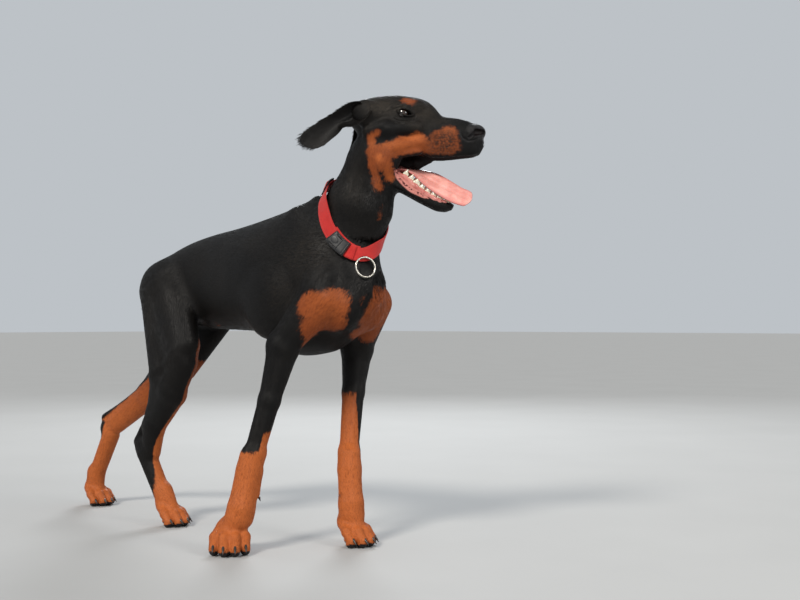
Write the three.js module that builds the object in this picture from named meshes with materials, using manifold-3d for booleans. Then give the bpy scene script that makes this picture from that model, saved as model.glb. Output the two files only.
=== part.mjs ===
// A young doberman pinscher standing with its head raised and its mouth open, life size.
// Millimetres. +X is the way the body faces, +Y its left side, +Z up, the floor at the lowest point.
import * as THREE from 'three';
import Module from 'manifold-3d';

const wasm = await Module();
wasm.setup();
const { Manifold, Mesh } = wasm;

// driving dimensions
const NODE_GAP = 0.3;
const FOREARM_R = 20.5;
const CARPUS_R = 21.5;
const FORE_PASTERN_R = 23;
const HIND_PASTERN_R = 20;
const CLAW_LENGTH = 14;
const CLAW_R = 3.6;
const EYE_R = 11.5;
const EYE_LONG = 23;
const EYE_OPEN = 9;
const LID_R = 2.8;
const EAR_LENGTH = 126;
const EAR_THICK = 3.4;
const COLLAR_WIDTH = 25;
const COLLAR_THICK = 2.4;
const RING_R = 18;
const RING_WIRE_R = 2;
const TONGUE_HALF = 21.5;
const TONGUE_ROLL = 50;
const TONGUE_THICK = 7;
const LOWER_CANINE = 15;
const UPPER_CANINE = 11;

// joint centres, floor at z = 0
const HEAD_AT = [365, 10, 780];
const HEAD_YAW = 30;
const JAW_HINGE = [45, 0, -106];
const JAW_PITCH = -27;
const RIGHT = {
  shoulder: [318, -58, 455], elbow: [249, -90, 358], forearm: [237, -112, 268], wristTop: [224, -134, 180],
  wrist: [219, -142, 142], pastern: [219, -165, 62], paw: [213, -184, 0], pawYaw: -44, pawScale: 1.08,
  hip: [-130, -46, 480], stifle: [-46, -74, 334], shin: [-84, -72, 272], shinEnd: [-148, -66, 196],
  hock: [-180, -63, 153], hockPoint: [-201, -63, 164], hindPastern: [-124, -58, 52], hindPaw: [-97, -56, 0],
};
const LEFT = {
  shoulder: [332, 60, 450], elbow: [264, 93, 352], forearm: [274, 72, 276], wristTop: [289, 44, 172],
  wrist: [299, 34, 136], pastern: [314, 23, 58], paw: [331, 20, 0], pawYaw: -6, pawScale: 1.0,
  hip: [-130, 46, 480], stifle: [-222, 40, 312], shin: [-290, 33, 250], shinEnd: [-390, 22, 185],
  hock: [-412, 20, 172], hockPoint: [-425, 20, 196], hindPastern: [-458, 16, 58], hindPaw: [-440, 15, 0],
};

// torso sections: x, top, bottom, half width, widest level, roundness above and below
const TORSO = [
  [-226, 490, 470, 20, 482, 2, 2], [-205, 510, 448, 42, 488, 2, 2], [-170, 536, 430, 54, 497, 2.1, 2],
  [-130, 557, 414, 59, 502, 2.2, 2], [-80, 574, 402, 60, 504, 2.2, 2], [-20, 586, 395, 62, 500, 2.2, 2],
  [40, 594, 393, 70, 494, 2.15, 2.1], [90, 602, 391, 78, 488, 2.1, 2.1], [140, 612, 371, 84, 485, 2, 2.1],
  [180, 621, 354, 85, 482, 1.95, 2.1], [220, 630, 345, 82, 478, 1.85, 2.1],
  [280, 630, 352, 73, 475, 1.9, 2.1],
  [330, 588, 376, 60, 474, 2, 2.1], [372, 540, 408, 44, 470, 2, 2.1], [400, 502, 440, 22, 470, 2, 2],
];
// muzzle sections in the frame of the head
const MUZZLE = [
  [70, 8, -62, 30, -35, 2, 2.4], [96, 16, -74, 33, -42, 2, 2.6], [120, 9, -86, 33, -52, 2.2, 2.8],
  [140, -2, -87, 30.5, -55, 2.3, 2.8], [165, -6, -85, 27.5, -55, 2.3, 2.8],
  [188, -13, -81, 24, -54, 2.3, 2.6],
  [202, -20, -74, 19, -50, 2.2, 2.3], [210, -30, -62, 11, -46, 2, 2],
];
// lower jaw sections in the frame of the jaw
const JAW = [
  [-6, 14, -20, 33, -8, 2, 2.2], [24, 13, -22, 31, -12, 1.8, 2.3], [45, 7, -23, 28, -13, 1.8, 2.3],
  [70, 2, -24, 24, -13, 1.9, 2.3], [95, 1, -24, 20, -12, 2, 2.3], [115, 4, -19, 15, -8, 2, 2.2],
  [126, 3, -10, 7, -2, 2, 2],
];

// small vector helpers
const sub = (a, b) => [a[0] - b[0], a[1] - b[1], a[2] - b[2]];
const add = (a, b) => [a[0] + b[0], a[1] + b[1], a[2] + b[2]];
const mul = (a, s) => [a[0] * s, a[1] * s, a[2] * s];
const dot = (a, b) => a[0] * b[0] + a[1] * b[1] + a[2] * b[2];
const cross = (a, b) => [a[1] * b[2] - a[2] * b[1], a[2] * b[0] - a[0] * b[2], a[0] * b[1] - a[1] * b[0]];
const unit = (a) => mul(a, 1 / Math.hypot(...a));
const mix = (a, b, t) => add(mul(a, 1 - t), mul(b, t));
const clamp = (v, lo, hi) => Math.min(hi, Math.max(lo, v));
const rad = (deg) => deg * Math.PI / 180;

let seed = 7;
function random() {
  seed = (seed * 16807) % 2147483647;
  return seed / 2147483647;
}

// a local frame: yaw about z, then pitch (nose up positive), with an even scale
function frame(origin, yaw = 0, pitch = 0, scale = 1) {
  const cy = Math.cos(rad(yaw));
  const sy = Math.sin(rad(yaw));
  const cp = Math.cos(rad(pitch));
  const sp = Math.sin(rad(pitch));
  const ex = [cy * cp, sy * cp, sp];
  const ey = [-sy, cy, 0];
  const ez = [-cy * sp, -sy * sp, cp];
  return {
    origin, ex, ey, ez, scale,
    local(p) {
      const q = sub(p, origin);
      return [dot(q, ex) / scale, dot(q, ey) / scale, dot(q, ez) / scale];
    },
    world(q) {
      return [0, 1, 2].map((i) => origin[i] + scale * (q[0] * ex[i] + q[1] * ey[i] + q[2] * ez[i]));
    },
    turn(q) {
      return [0, 1, 2].map((i) => q[0] * ex[i] + q[1] * ey[i] + q[2] * ez[i]);
    },
  };
}
const HEAD = frame(HEAD_AT, HEAD_YAW);
const JAWF = frame(HEAD.world(JAW_HINGE), HEAD_YAW, JAW_PITCH);

// the solid as a blend of simple bodies
function ball(c, r, k = 10, cut = false) {
  const reach = Math.max(...r);
  return {
    k,
    cut,
    lo: c.map((v) => v - reach),
    hi: c.map((v) => v + reach),
    d(p) {
      const q = sub(p, c);
      const a = [q[0] / r[0], q[1] / r[1], q[2] / r[2]];
      const b = [a[0] / r[0], a[1] / r[1], a[2] / r[2]];
      const k0 = Math.hypot(...a) + 1e-6;
      return k0 * (k0 - 1) / (Math.hypot(...b) + 1e-9);
    },
  };
}

// a tapered capsule, squeezed to `flat` of its radius along `side`
function limb(a, b, ra, rb, k = 10, flat = 1, side = [0, 1, 0], cut = false) {
  const len = Math.hypot(...sub(b, a));
  const ax = unit(sub(b, a));
  const sd = unit(sub(side, mul(ax, dot(side, ax))));
  const up = cross(ax, sd);
  const m = Math.max(ra, rb);
  return {
    k,
    cut,
    lo: [0, 1, 2].map((i) => Math.min(a[i], b[i]) - m),
    hi: [0, 1, 2].map((i) => Math.max(a[i], b[i]) + m),
    d(p) {
      const q = sub(p, a);
      const t = dot(q, ax);
      const tc = clamp(t, 0, len);
      const r = ra + (rb - ra) * tc / len;
      const w = r * flat;
      const e = Math.min(r, w);
      const A = dot(q, sd) / w;
      const B = dot(q, up) / r;
      const E = (t - tc) / e;
      const k0 = Math.hypot(A, B, E) + 1e-6;
      return k0 * (k0 - 1) / (Math.hypot(A / w, B / r, E / e) + 1e-9);
    },
  };
}

// smooth monotone table through rows keyed by their first number
function table(rows) {
  const n = rows[0].length - 1;
  const slope = rows.slice(1).map((r, i) => r.slice(1).map((v, j) => (
    (v - rows[i][j + 1]) / (r[0] - rows[i][0])
  )));
  const m = rows.map((r, i) => {
    if (i === 0) return slope[0];
    if (i === rows.length - 1) return slope[i - 1];
    return slope[i].map((b, j) => {
      const a = slope[i - 1][j];
      return a * b > 0 ? 2 * a * b / (a + b) : 0;
    });
  });
  return (x) => {
    let i = 0;
    while (i < rows.length - 2 && x > rows[i + 1][0]) i += 1;
    const h = rows[i + 1][0] - rows[i][0];
    const t = clamp((x - rows[i][0]) / h, 0, 1);
    const out = [];
    for (let j = 0; j < n; j += 1) {
      out.push((2 * t ** 3 - 3 * t ** 2 + 1) * rows[i][j + 1] + (t ** 3 - 2 * t ** 2 + t) * h * m[i][j]
        + (-2 * t ** 3 + 3 * t ** 2) * rows[i + 1][j + 1] + (t ** 3 - t ** 2) * h * m[i + 1][j]);
    }
    return out;
  };
}

function loft(rows, k = 10, cut = false) {
  const at = table(rows);
  const x0 = rows[0][0];
  const x1 = rows[rows.length - 1][0];
  const w = Math.max(...rows.map((r) => r[3]));
  return {
    k,
    cut,
    lo: [x0, -w, Math.min(...rows.map((r) => r[2]))],
    hi: [x1, w, Math.max(...rows.map((r) => r[1]))],
    d(p) {
      const x = clamp(p[0], x0, x1);
      const e = p[0] - x;
      const [top, bottom, half, level, nu, nd] = at(x);
      const h = p[2] - level;
      const H = h > 0 ? top - level : level - bottom;
      const n = h > 0 ? nu : nd;
      const A = Math.abs(p[1]) / half + 1e-7;
      const B = Math.abs(h) / H + 1e-7;
      const k0 = (A ** n + B ** n) ** (1 / n);
      const d = (k0 - 1) / Math.hypot((A / k0) ** (n - 1) / half, (B / k0) ** (n - 1) / H);
      if (e === 0) return d;
      return d > 0 ? Math.hypot(d, e) : Math.abs(e);
    },
  };
}

const items = [];
function place(fr, list) {
  for (const p of list) {
    let lo = p.lo;
    let hi = p.hi;
    if (fr) {
      lo = [1e9, 1e9, 1e9];
      hi = [-1e9, -1e9, -1e9];
      for (let c = 0; c < 8; c += 1) {
        const w = fr.world([c & 1 ? p.hi[0] : p.lo[0], c & 2 ? p.hi[1] : p.lo[1], c & 4 ? p.hi[2] : p.lo[2]]);
        for (let i = 0; i < 3; i += 1) {
          lo[i] = Math.min(lo[i], w[i]);
          hi[i] = Math.max(hi[i], w[i]);
        }
      }
    }
    const s = fr ? fr.scale : 1;
    items.push({ fr, p, lo, hi, s, k: p.k * s });
  }
}

function blend(a, b, k) {
  const h = clamp(0.5 + 0.5 * (b - a) / k, 0, 1);
  return b + (a - b) * h - k * h * (1 - h);
}

function field(p, use = items) {
  let f = 60;
  for (const it of use) {
    const m = 34 + it.k;
    if (p[0] < it.lo[0] - m || p[0] > it.hi[0] + m || p[1] < it.lo[1] - m || p[1] > it.hi[1] + m
      || p[2] < it.lo[2] - m || p[2] > it.hi[2] + m) continue;
    const d = it.p.d(it.fr ? it.fr.local(p) : p) * it.s;
    f = it.p.cut ? -blend(-f, d, it.k) : blend(f, d, it.k);
  }
  return f;
}

// body, legs and head
place(null, [loft(TORSO, 10)]);
for (const s of [-1, 1]) {
  place(null, [
    limb([222, s * 28, 604], [314, s * 60, 478], 24, 38, 22, 0.62),
    ball([335, s * 32, 438], [48, 30, 48], 16),
    ball([190, s * 64, 440], [60, 26, 62], 24),
    ball([-150, s * 40, 488], [58, 34, 44], 24),
  ]);
}
place(null, [
  limb([306, 4, 548], [347, 9, 622], 74, 66, 30, 0.76),
  limb([347, 9, 622], [377, 15, 700], 66, 52, 12, 0.79),
  limb([377, 15, 700], [391, 23, 750], 52, 44, 12, 0.86),
  limb([225, 0, 607], [256, 0, 624], 16, 22, 20, 0.8),
]);

function foreleg(j, k) {
  const across = [-Math.sin(rad(j.pawYaw)), Math.cos(rad(j.pawYaw)), 0];
  const forward = [Math.cos(rad(j.pawYaw)), Math.sin(rad(j.pawYaw)), 0];
  place(null, [
    limb(j.shoulder, add(j.elbow, [4, 0, 14]), 43, 30 + k, 16, 0.8),
    ball(add(j.elbow, [-16, 0, 10]), [20, 16, 24], 12),
    limb(j.elbow, j.forearm, 30 + k, FOREARM_R + k, 14, 0.88),
    limb(j.forearm, j.wristTop, FOREARM_R + k, CARPUS_R - 2, 8, 0.92),
    limb(add(j.wristTop, [0, 0, -6]), j.wrist, CARPUS_R, CARPUS_R, 8),
    limb(j.wrist, j.pastern, FORE_PASTERN_R, FORE_PASTERN_R + 1, 8, 0.82, forward),
    limb(add(j.wrist, mul(across, Math.sign(-j.elbow[1]) * 14)),
      add(mix(j.wrist, j.pastern, 0.5), mul(across, Math.sign(-j.elbow[1]) * 21)), 8, 6, 6),
  ]);
}
foreleg(RIGHT, 1);
foreleg(LEFT, 2);

place(null, [
  limb(RIGHT.hip, add(RIGHT.stifle, [-6, 2, 18]), 58, 48, 24, 0.6),
  limb([-185, -40, 472], [-114, -70, 312], 34, 36, 20, 0.66),
  limb(RIGHT.stifle, RIGHT.shin, 34, 32, 14, 0.75),
  limb(RIGHT.shin, RIGHT.shinEnd, 37, 26, 12, 0.72),
  limb([-118, -70, 290], [-148, -68, 226], 28, 15, 14, 0.8),
  limb([-138, -69, 238], RIGHT.hockPoint, 12, 10.5, 10),
  limb(RIGHT.shinEnd, add(RIGHT.hock, [22, 0, -8]), 26, 21, 8, 0.85),
]);
place(null, [
  limb(LEFT.hip, add(LEFT.stifle, [6, 0, 8]), 60, 45, 24, 0.6),
  limb([-60, 40, 430], [-180, 38, 320], 40, 40, 20, 0.5),
  limb([-188, 40, 462], [-250, 36, 324], 34, 30, 20, 0.62),
  limb(LEFT.stifle, LEFT.shin, 40, 31, 14, 0.74),
  limb(LEFT.shin, LEFT.shinEnd, 30, 25, 10, 0.76),
  limb([-318, 31, 246], LEFT.hockPoint, 13, 10.5, 10),
]);
for (const j of [RIGHT, LEFT]) {
  place(null, [
    ball(j.hock, [27, 16.5, 25], 8),
    limb(add(j.hock, [6, 0, -14]), j.hindPastern, HIND_PASTERN_R + 1, HIND_PASTERN_R - 1, 8, 0.9),
  ]);
}

// paws: x forward, the standing point of the sole at the origin
const TOES = [[-25, 12], [-9, 25], [9, 25], [25, 12]];
function toes() {
  const out = [];
  for (const [y, front] of TOES) {
    out.push(limb([-24, y * 0.55, 40], [front - 14, y * 0.95, 27], 11.5, 10.5, 7, 0.95));
    out.push(limb([front - 14, y * 0.95, 27], [front + 1, y, 13], 10.5, 9.5, 4));
    out.push(ball([front - 2, y, 7.4], [11, 9, 9], 4));
  }
  out.push(ball([-9, 0, 10], [18, 20, 11.8], 6));
  out.push(limb([-30, 0, 44], [-10, 0, 28], 18.5, 19, 10, 0.95));
  return out;
}
const PAWS = {
  paw_front_right: frame(RIGHT.paw, RIGHT.pawYaw, 0, RIGHT.pawScale),
  paw_front_left: frame(LEFT.paw, LEFT.pawYaw, 0, LEFT.pawScale),
  paw_hind_right: frame(RIGHT.hindPaw, 3, 0, 0.94),
  paw_hind_left: frame(LEFT.hindPaw, 0, 0, 0.94),
};
for (const fr of Object.values(PAWS)) place(fr, toes());

// tail stub
place(null, [limb([-208, 0, 492], [-252, 0, 462], 17, 11, 10, 1)]);

// head
place(HEAD, [
  ball([28, 0, -2], [62, 45, 40], 10),
  ball([60, 0, -4], [52, 39, 42], 10),
  ball([88, 0, -6], [42, 30, 38], 10),
  loft(MUZZLE, 12),
  ball([197, 0, -33], [19, 18, 16], 6),
  ball([34, 0, -110], [27, 29, 33], 14),
]);
for (const s of [-1, 1]) {
  place(HEAD, [
    ball([90, s * 22, 14], [20, 13, 13], 10),
    ball([74, s * 31, 2], [15, 9, 12], 8),
    limb([96, s * 32, -26], [42, s * 40, -28], 12, 14, 10),
    limb([42, s * 40, -28], [8, s * 38, -30], 14, 12, 10),
    ball([34, s * 32, -64], [36, 17, 44], 14),
    ball([4, s * 38, 3], [26, 15, 24], 10),
    limb([98, s * 29, -69], [60, s * 33, -74], 7, 7, 6),
    limb([60, s * 33, -74], [47, s * 32, -92], 7, 7, 6),
    limb([58, s * 33, -58], [102, s * 24, -52], 13, 12, 10),
  ]);
}
// the left lip hangs a little lower at its corner
place(HEAD, [
  limb([50, 27, -90], [84, 26, -90], 10, 9, 8, 0.7),
  limb([84, 26, -90], [114, 26, -86], 9, 7, 8, 0.7),
]);
place(JAWF, [loft(JAW, 10)]);
// the hollow of the mouth: roof between the upper lips, floor between the lower lips, closed at the back
place(HEAD, [loft([
  [34, -88, -108, 12, -98, 2, 2], [60, -70, -122, 22, -96, 2, 2], [90, -64, -112, 23, -90, 2.2, 2.2],
  [130, -66, -112, 22, -92, 2.2, 2.2], [170, -68, -106, 19, -90, 2.2, 2.2], [196, -72, -96, 12, -86, 2, 2],
], 5, true)]);
place(JAWF, [loft([
  [4, 22, -8, 18, 6, 2, 2], [30, 22, -12, 23, 6, 2, 2.2], [70, 22, -12, 18, 4, 2, 2.2],
  [100, 22, -8, 12, 4, 2, 2.2], [114, 20, -2, 7, 6, 2, 2],
], 4, true)]);

function manifoldOf(verts, tris) {
  const mesh = new Mesh({
    numProp: 3,
    vertProperties: new Float32Array(verts),
    triVerts: new Uint32Array(tris),
  });
  return new Manifold(mesh);
}

// keep samples from touching only across a diagonal, so the skin is a simple closed surface
function untangle(F, n, at) {
  const rim = (q) => q.some((v, c) => v === 0 || v === n[c] - 1);
  const flip = (list) => {
    const free = list.filter((q) => !rim(q));
    if (!free.length) return 0;
    free.sort((a, b) => Math.abs(F[at(...a)]) - Math.abs(F[at(...b)]));
    F[at(...free[0])] = F[at(...free[0])] < 0 ? 0.3 : -0.3;
    return 1;
  };
  for (let pass = 0; pass < 30; pass += 1) {
    let changed = 0;
    for (let i = 0; i < n[0] - 1; i += 1) {
      for (let j = 0; j < n[1] - 1; j += 1) {
        for (let k = 0; k < n[2] - 1; k += 1) {
          const q = (a, b, c) => [i + a, j + b, k + c];
          const faces = [
            [q(0, 0, 0), q(1, 0, 0), q(1, 1, 0), q(0, 1, 0)],
            [q(0, 0, 0), q(0, 1, 0), q(0, 1, 1), q(0, 0, 1)],
            [q(0, 0, 0), q(1, 0, 0), q(1, 0, 1), q(0, 0, 1)],
          ];
          for (const f of faces) {
            const g = f.map((v) => F[at(...v)] < 0);
            if (g[0] === g[2] && g[1] === g[3] && g[0] !== g[1]) {
              const filled = f.filter((v, c) => !g[c]);
              changed += flip(pass < 4 ? f : filled);
            }
          }
          const all = [];
          for (let c = 0; c < 8; c += 1) all.push(q(c & 1, (c >> 1) & 1, (c >> 2) & 1));
          const inside = all.filter((v) => F[at(...v)] < 0);
          let few = [];
          if (inside.length === 2) few = inside;
          if (inside.length === 6) few = all.filter((v) => F[at(...v)] >= 0);
          if (few.length === 2 && few[0].every((v, c) => v !== few[1][c])) changed += flip(few);
        }
      }
    }
    if (!changed) break;
  }
}

// a closed skin from the blend, inside one box, with the given cell
function skin(lo, hi, cell, lift = 0, use = items) {
  const near = use.filter((it) => [0, 1, 2].every((i) => it.lo[i] - 50 < hi[i] && it.hi[i] + 50 > lo[i]));
  const n = [0, 1, 2].map((i) => Math.ceil((hi[i] - lo[i]) / cell[i]) + 1);
  const at = (i, j, k) => (i * n[1] + j) * n[2] + k;
  const F = new Float32Array(n[0] * n[1] * n[2]);
  const pos = (i, j, k) => [lo[0] + i * cell[0], lo[1] + j * cell[1], lo[2] + k * cell[2]];
  for (let i = 0; i < n[0]; i += 1) {
    for (let j = 0; j < n[1]; j += 1) {
      for (let k = 0; k < n[2]; k += 1) {
        const edge = i === 0 || j === 0 || k === 0 || i === n[0] - 1 || j === n[1] - 1 || k === n[2] - 1;
        F[at(i, j, k)] = edge ? 5 : field(pos(i, j, k), near) - lift;
      }
    }
  }
  untangle(F, n, at);
  const index = new Map();
  const verts = [];
  for (let i = 0; i < n[0] - 1; i += 1) {
    for (let j = 0; j < n[1] - 1; j += 1) {
      for (let k = 0; k < n[2] - 1; k += 1) {
        const acc = [0, 0, 0];
        let count = 0;
        for (let e = 0; e < 12; e += 1) {
          const axis = e >> 2;
          const o = [0, 0, 0];
          o[(axis + 1) % 3] = e & 1;
          o[(axis + 2) % 3] = (e >> 1) & 1;
          const q = [...o];
          q[axis] = 1;
          const a = F[at(i + o[0], j + o[1], k + o[2])];
          const b = F[at(i + q[0], j + q[1], k + q[2])];
          if ((a < 0) === (b < 0)) continue;
          const t = a / (a - b);
          for (let c = 0; c < 3; c += 1) acc[c] += o[c] + (c === axis ? t : 0);
          count += 1;
        }
        if (!count) continue;
        index.set(at(i, j, k), verts.length / 3);
        let p = [0, 1, 2].map((c) => lo[c] + cell[c] * ([i, j, k][c] + acc[c] / count));
        const inner = i > 0 && j > 0 && k > 0 && i < n[0] - 2 && j < n[1] - 2 && k < n[2] - 2;
        for (let s = 0; inner && s < 2; s += 1) {
          const f = field(p, near) - lift;
          const g = [0, 1, 2].map((c) => {
            const d = [0, 0, 0];
            d[c] = 0.4;
            return (field(add(p, d), near) - field(sub(p, d), near)) / 0.8;
          });
          const st = mul(g, -f / (dot(g, g) + 1e-3));
          const m = Math.hypot(...st);
          p = add(p, m > 2 ? mul(st, 2 / m) : st);
        }
        verts.push(...p);
      }
    }
  }
  const tris = [];
  for (let axis = 0; axis < 3; axis += 1) {
    const b = (axis + 1) % 3;
    const c = (axis + 2) % 3;
    for (let i = 0; i < n[0]; i += 1) {
      for (let j = 0; j < n[1]; j += 1) {
        for (let k = 0; k < n[2]; k += 1) {
          const s = [i, j, k];
          if (s[axis] >= n[axis] - 1 || s[b] < 1 || s[c] < 1) continue;
          if (s[b] >= n[b] - 1 || s[c] >= n[c] - 1) continue;
          const e = [...s];
          e[axis] += 1;
          const inside = F[at(...s)] < 0;
          if (inside === (F[at(...e)] < 0)) continue;
          const v = [[0, 0], [1, 0], [1, 1], [0, 1]].map(([db, dc]) => {
            const q = [...s];
            q[b] -= db;
            q[c] -= dc;
            return index.get(at(...q));
          });
          if (!inside) v.reverse();
          tris.push(v[0], v[1], v[2], v[0], v[2], v[3]);
        }
      }
    }
  }
  return manifoldOf(verts, tris);
}

// three.js shapes to and from closed solids
function solid(geometry) {
  const p = geometry.attributes.position;
  const order = geometry.index ? geometry.index.array : { length: p.count };
  const idx = Array.from(order, (v, i) => (geometry.index ? v : i));
  const key = new Map();
  const map = [];
  const verts = [];
  for (let i = 0; i < p.count; i += 1) {
    const id = [p.getX(i), p.getY(i), p.getZ(i)].map((v) => Math.round(v * 1e4)).join();
    if (!key.has(id)) {
      key.set(id, verts.length / 3);
      verts.push(p.getX(i), p.getY(i), p.getZ(i));
    }
    map.push(key.get(id));
  }
  const tris = [];
  for (let i = 0; i < idx.length; i += 3) {
    const t = [map[idx[i]], map[idx[i + 1]], map[idx[i + 2]]];
    if (t[0] !== t[1] && t[1] !== t[2] && t[2] !== t[0]) tris.push(...t);
  }
  return manifoldOf(verts, tris);
}

function basis(o, ex, ey, ez) {
  const axes = [ex, ey, ez].map((v) => new THREE.Vector3(...v));
  return new THREE.Matrix4().makeBasis(...axes).setPosition(...o);
}

// a box with its face through `point`, filling the side that `normal` points to
function half(point, normal, wide = [400, 400], deep = 400, side = [0, 1, 0]) {
  const ez = unit(normal);
  const ey = unit(sub(side, mul(ez, dot(side, ez))));
  const g = new THREE.BoxGeometry(wide[0], wide[1], deep);
  g.translate(0, 0, deep / 2);
  g.applyMatrix4(basis(point, cross(ey, ez), ey, ez));
  return solid(g);
}

function box(lo, hi, turnAt = null) {
  const g = new THREE.BoxGeometry(hi[0] - lo[0], hi[1] - lo[1], hi[2] - lo[2]);
  g.translate((lo[0] + hi[0]) / 2, (lo[1] + hi[1]) / 2, (lo[2] + hi[2]) / 2);
  if (turnAt) g.applyMatrix4(basis(turnAt.origin, turnAt.ex, turnAt.ey, turnAt.ez));
  return solid(g);
}

function largest(m) {
  const parts = m.decompose();
  parts.sort((a, b) => b.volume() - a.volume());
  return parts[0];
}

// a closed surface from points and triangles, turned the right way out
function closed(verts, idx) {
  const g = new THREE.BufferGeometry();
  g.setAttribute('position', new THREE.Float32BufferAttribute(verts, 3));
  g.setIndex(idx);
  const s = solid(g);
  if (s.volume() > 0) return s;
  g.setIndex(idx.map((_, i) => idx[i - (i % 3) + (2 - (i % 3))]));
  return solid(g);
}

// a closed ribbon: centre line, across direction and half width, face normal and thickness at each step
function sheet(steps, across, at) {
  const verts = [];
  const row = 2 * (across + 1);
  for (let i = 0; i <= steps; i += 1) {
    for (const sgn of [1, -1]) {
      for (let j = 0; j <= across; j += 1) {
        const t = sgn > 0 ? -1 + 2 * j / across : 1 - 2 * j / across;
        verts.push(...at(i / steps, t, sgn));
      }
    }
  }
  const idx = [];
  for (let i = 0; i < steps; i += 1) {
    for (let j = 0; j < row; j += 1) {
      const a = i * row + j;
      const b = i * row + (j + 1) % row;
      idx.push(a, b, a + row, b, b + row, a + row);
    }
  }
  for (let j = 0; j < across; j += 1) {
    const a = [j, j + 1, row - 2 - j, row - 1 - j];
    idx.push(a[0], a[2], a[1], a[0], a[3], a[2]);
    const e = steps * row;
    idx.push(e + a[0], e + a[1], e + a[2], e + a[0], e + a[2], e + a[3]);
  }
  return closed(verts, idx);
}

// parting the animal
const bodySkin = {};
const cuts = {
  head: { p: [372, 18, 702], n: [0.777, 0.208, 0.594] },
  neck: { p: [313, 1, 586], n: [0.77, -0.2, 0.6] },
};
cuts.head.p = mix([318, 12, 775], [427, 25, 628], 0.5);

const headRaw = skin([296, -60, 590], [574, 156, 836], [9.3, 9.3, 9.3]);
const headOut = skin([296, -60, 590], [574, 156, 836], [9.3, 9.3, 9.3], 0.8);
const neckRaw = skin([200, -110, 470], [470, 120, 820], [18, 18, 18]);
const torsoRaw = skin([-300, -130, 320], [440, 130, 660], [27, 20.5, 20.5]);
const headSide = half(cuts.head.p, cuts.head.n);
const headSideOut = half(sub(cuts.head.p, mul(unit(cuts.head.n), NODE_GAP)), cuts.head.n);
const neckSide = half(cuts.neck.p, cuts.neck.n);
const neckSideOut = half(sub(cuts.neck.p, mul(unit(cuts.neck.n), NODE_GAP)), cuts.neck.n, [500, 500], 500);

const jawCut = box([14, -60, -60], [160, 60, 13], JAWF);
const jawCutOut = box([14 - NODE_GAP, -61, -61], [161, 61, 13 + NODE_GAP], JAWF);
const noseBox = frame(HEAD.world([190, 0, -8]), HEAD_YAW, -22);
const noseCut = box([0, -40, -49], [60, 40, 40], noseBox);
const noseCutOut = box([-NODE_GAP, -41, -49 - NODE_GAP], [61, 41, 41], noseBox);

// eye: an almond plug with a round front
const EYE_OUT = (s) => unit([0.62, s * 0.78, 0.06]);
const eyeAt = (s) => HEAD.world([78, s * 31, 2]);
function eyeAlong(s) {
  const out = HEAD.turn(EYE_OUT(s));
  const along = HEAD.turn(unit([0.78, s * -0.62, -0.3]));
  return unit(sub(along, mul(out, dot(along, out))));
}
function almond(grow, s) {
  const a = EYE_LONG / 2 + grow;
  const b = EYE_OPEN / 2 + grow;
  const shape = new THREE.Shape();
  shape.moveTo(-a, 0);
  shape.quadraticCurveTo(-a * 0.25, b * 2, a, 0);
  shape.quadraticCurveTo(a * 0.1, -b * 1.9, -a, 0);
  const g = new THREE.ExtrudeGeometry(shape, { depth: 30, bevelEnabled: false, curveSegments: 7 });
  const out = HEAD.turn(EYE_OUT(s));
  const ey = eyeAlong(s);
  g.applyMatrix4(basis(sub(eyeAt(s), mul(out, 8)), ey, cross(out, ey), out));
  return solid(g);
}
// the lids: a rolled rim laid round the opening of the eye, on the surface of the face
function lids(s) {
  const out = HEAD.turn(EYE_OUT(s));
  const points = [];
  for (let i = 0; i < 12; i += 1) {
    const a = i / 12 * 2 * Math.PI;
    const slim = 1 - 0.35 * Math.cos(a) ** 2;
    const q = [(EYE_LONG / 2 + 2) * Math.cos(a), (EYE_OPEN / 2 + 2.4) * Math.sin(a) * slim];
    const ey = eyeAlong(s);
    let p = add(add(eyeAt(s), mul(ey, q[0])), add(mul(cross(out, ey), q[1]), mul(out, 22)));
    for (let n = 0; n < 60 && field(p) > 0; n += 1) p = add(p, mul(out, -clamp(field(p), 0.3, 4)));
    points.push(new THREE.Vector3(...add(p, mul(out, -0.6))));
  }
  const path = new THREE.CatmullRomCurve3(points, true);
  return solid(new THREE.TubeGeometry(path, 14, LID_R, 5, true));
}
function eyeball(s, r) {
  const g = new THREE.SphereGeometry(r, 14, 10);
  g.translate(...HEAD.world([73.5, s * 26.2, 1.5]));
  return solid(g);
}

// nostril: a comma-shaped pit, open to the front and the side
function nostril(s) {
  const g = new THREE.SphereGeometry(1, 8, 6);
  g.scale(9, 4, 4.4);
  g.rotateZ(s * 0.55);
  g.translate(206, s * 11.5, -31.5);
  g.applyMatrix4(basis(HEAD.origin, HEAD.ex, HEAD.ey, HEAD.ez));
  return solid(g);
}

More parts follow.
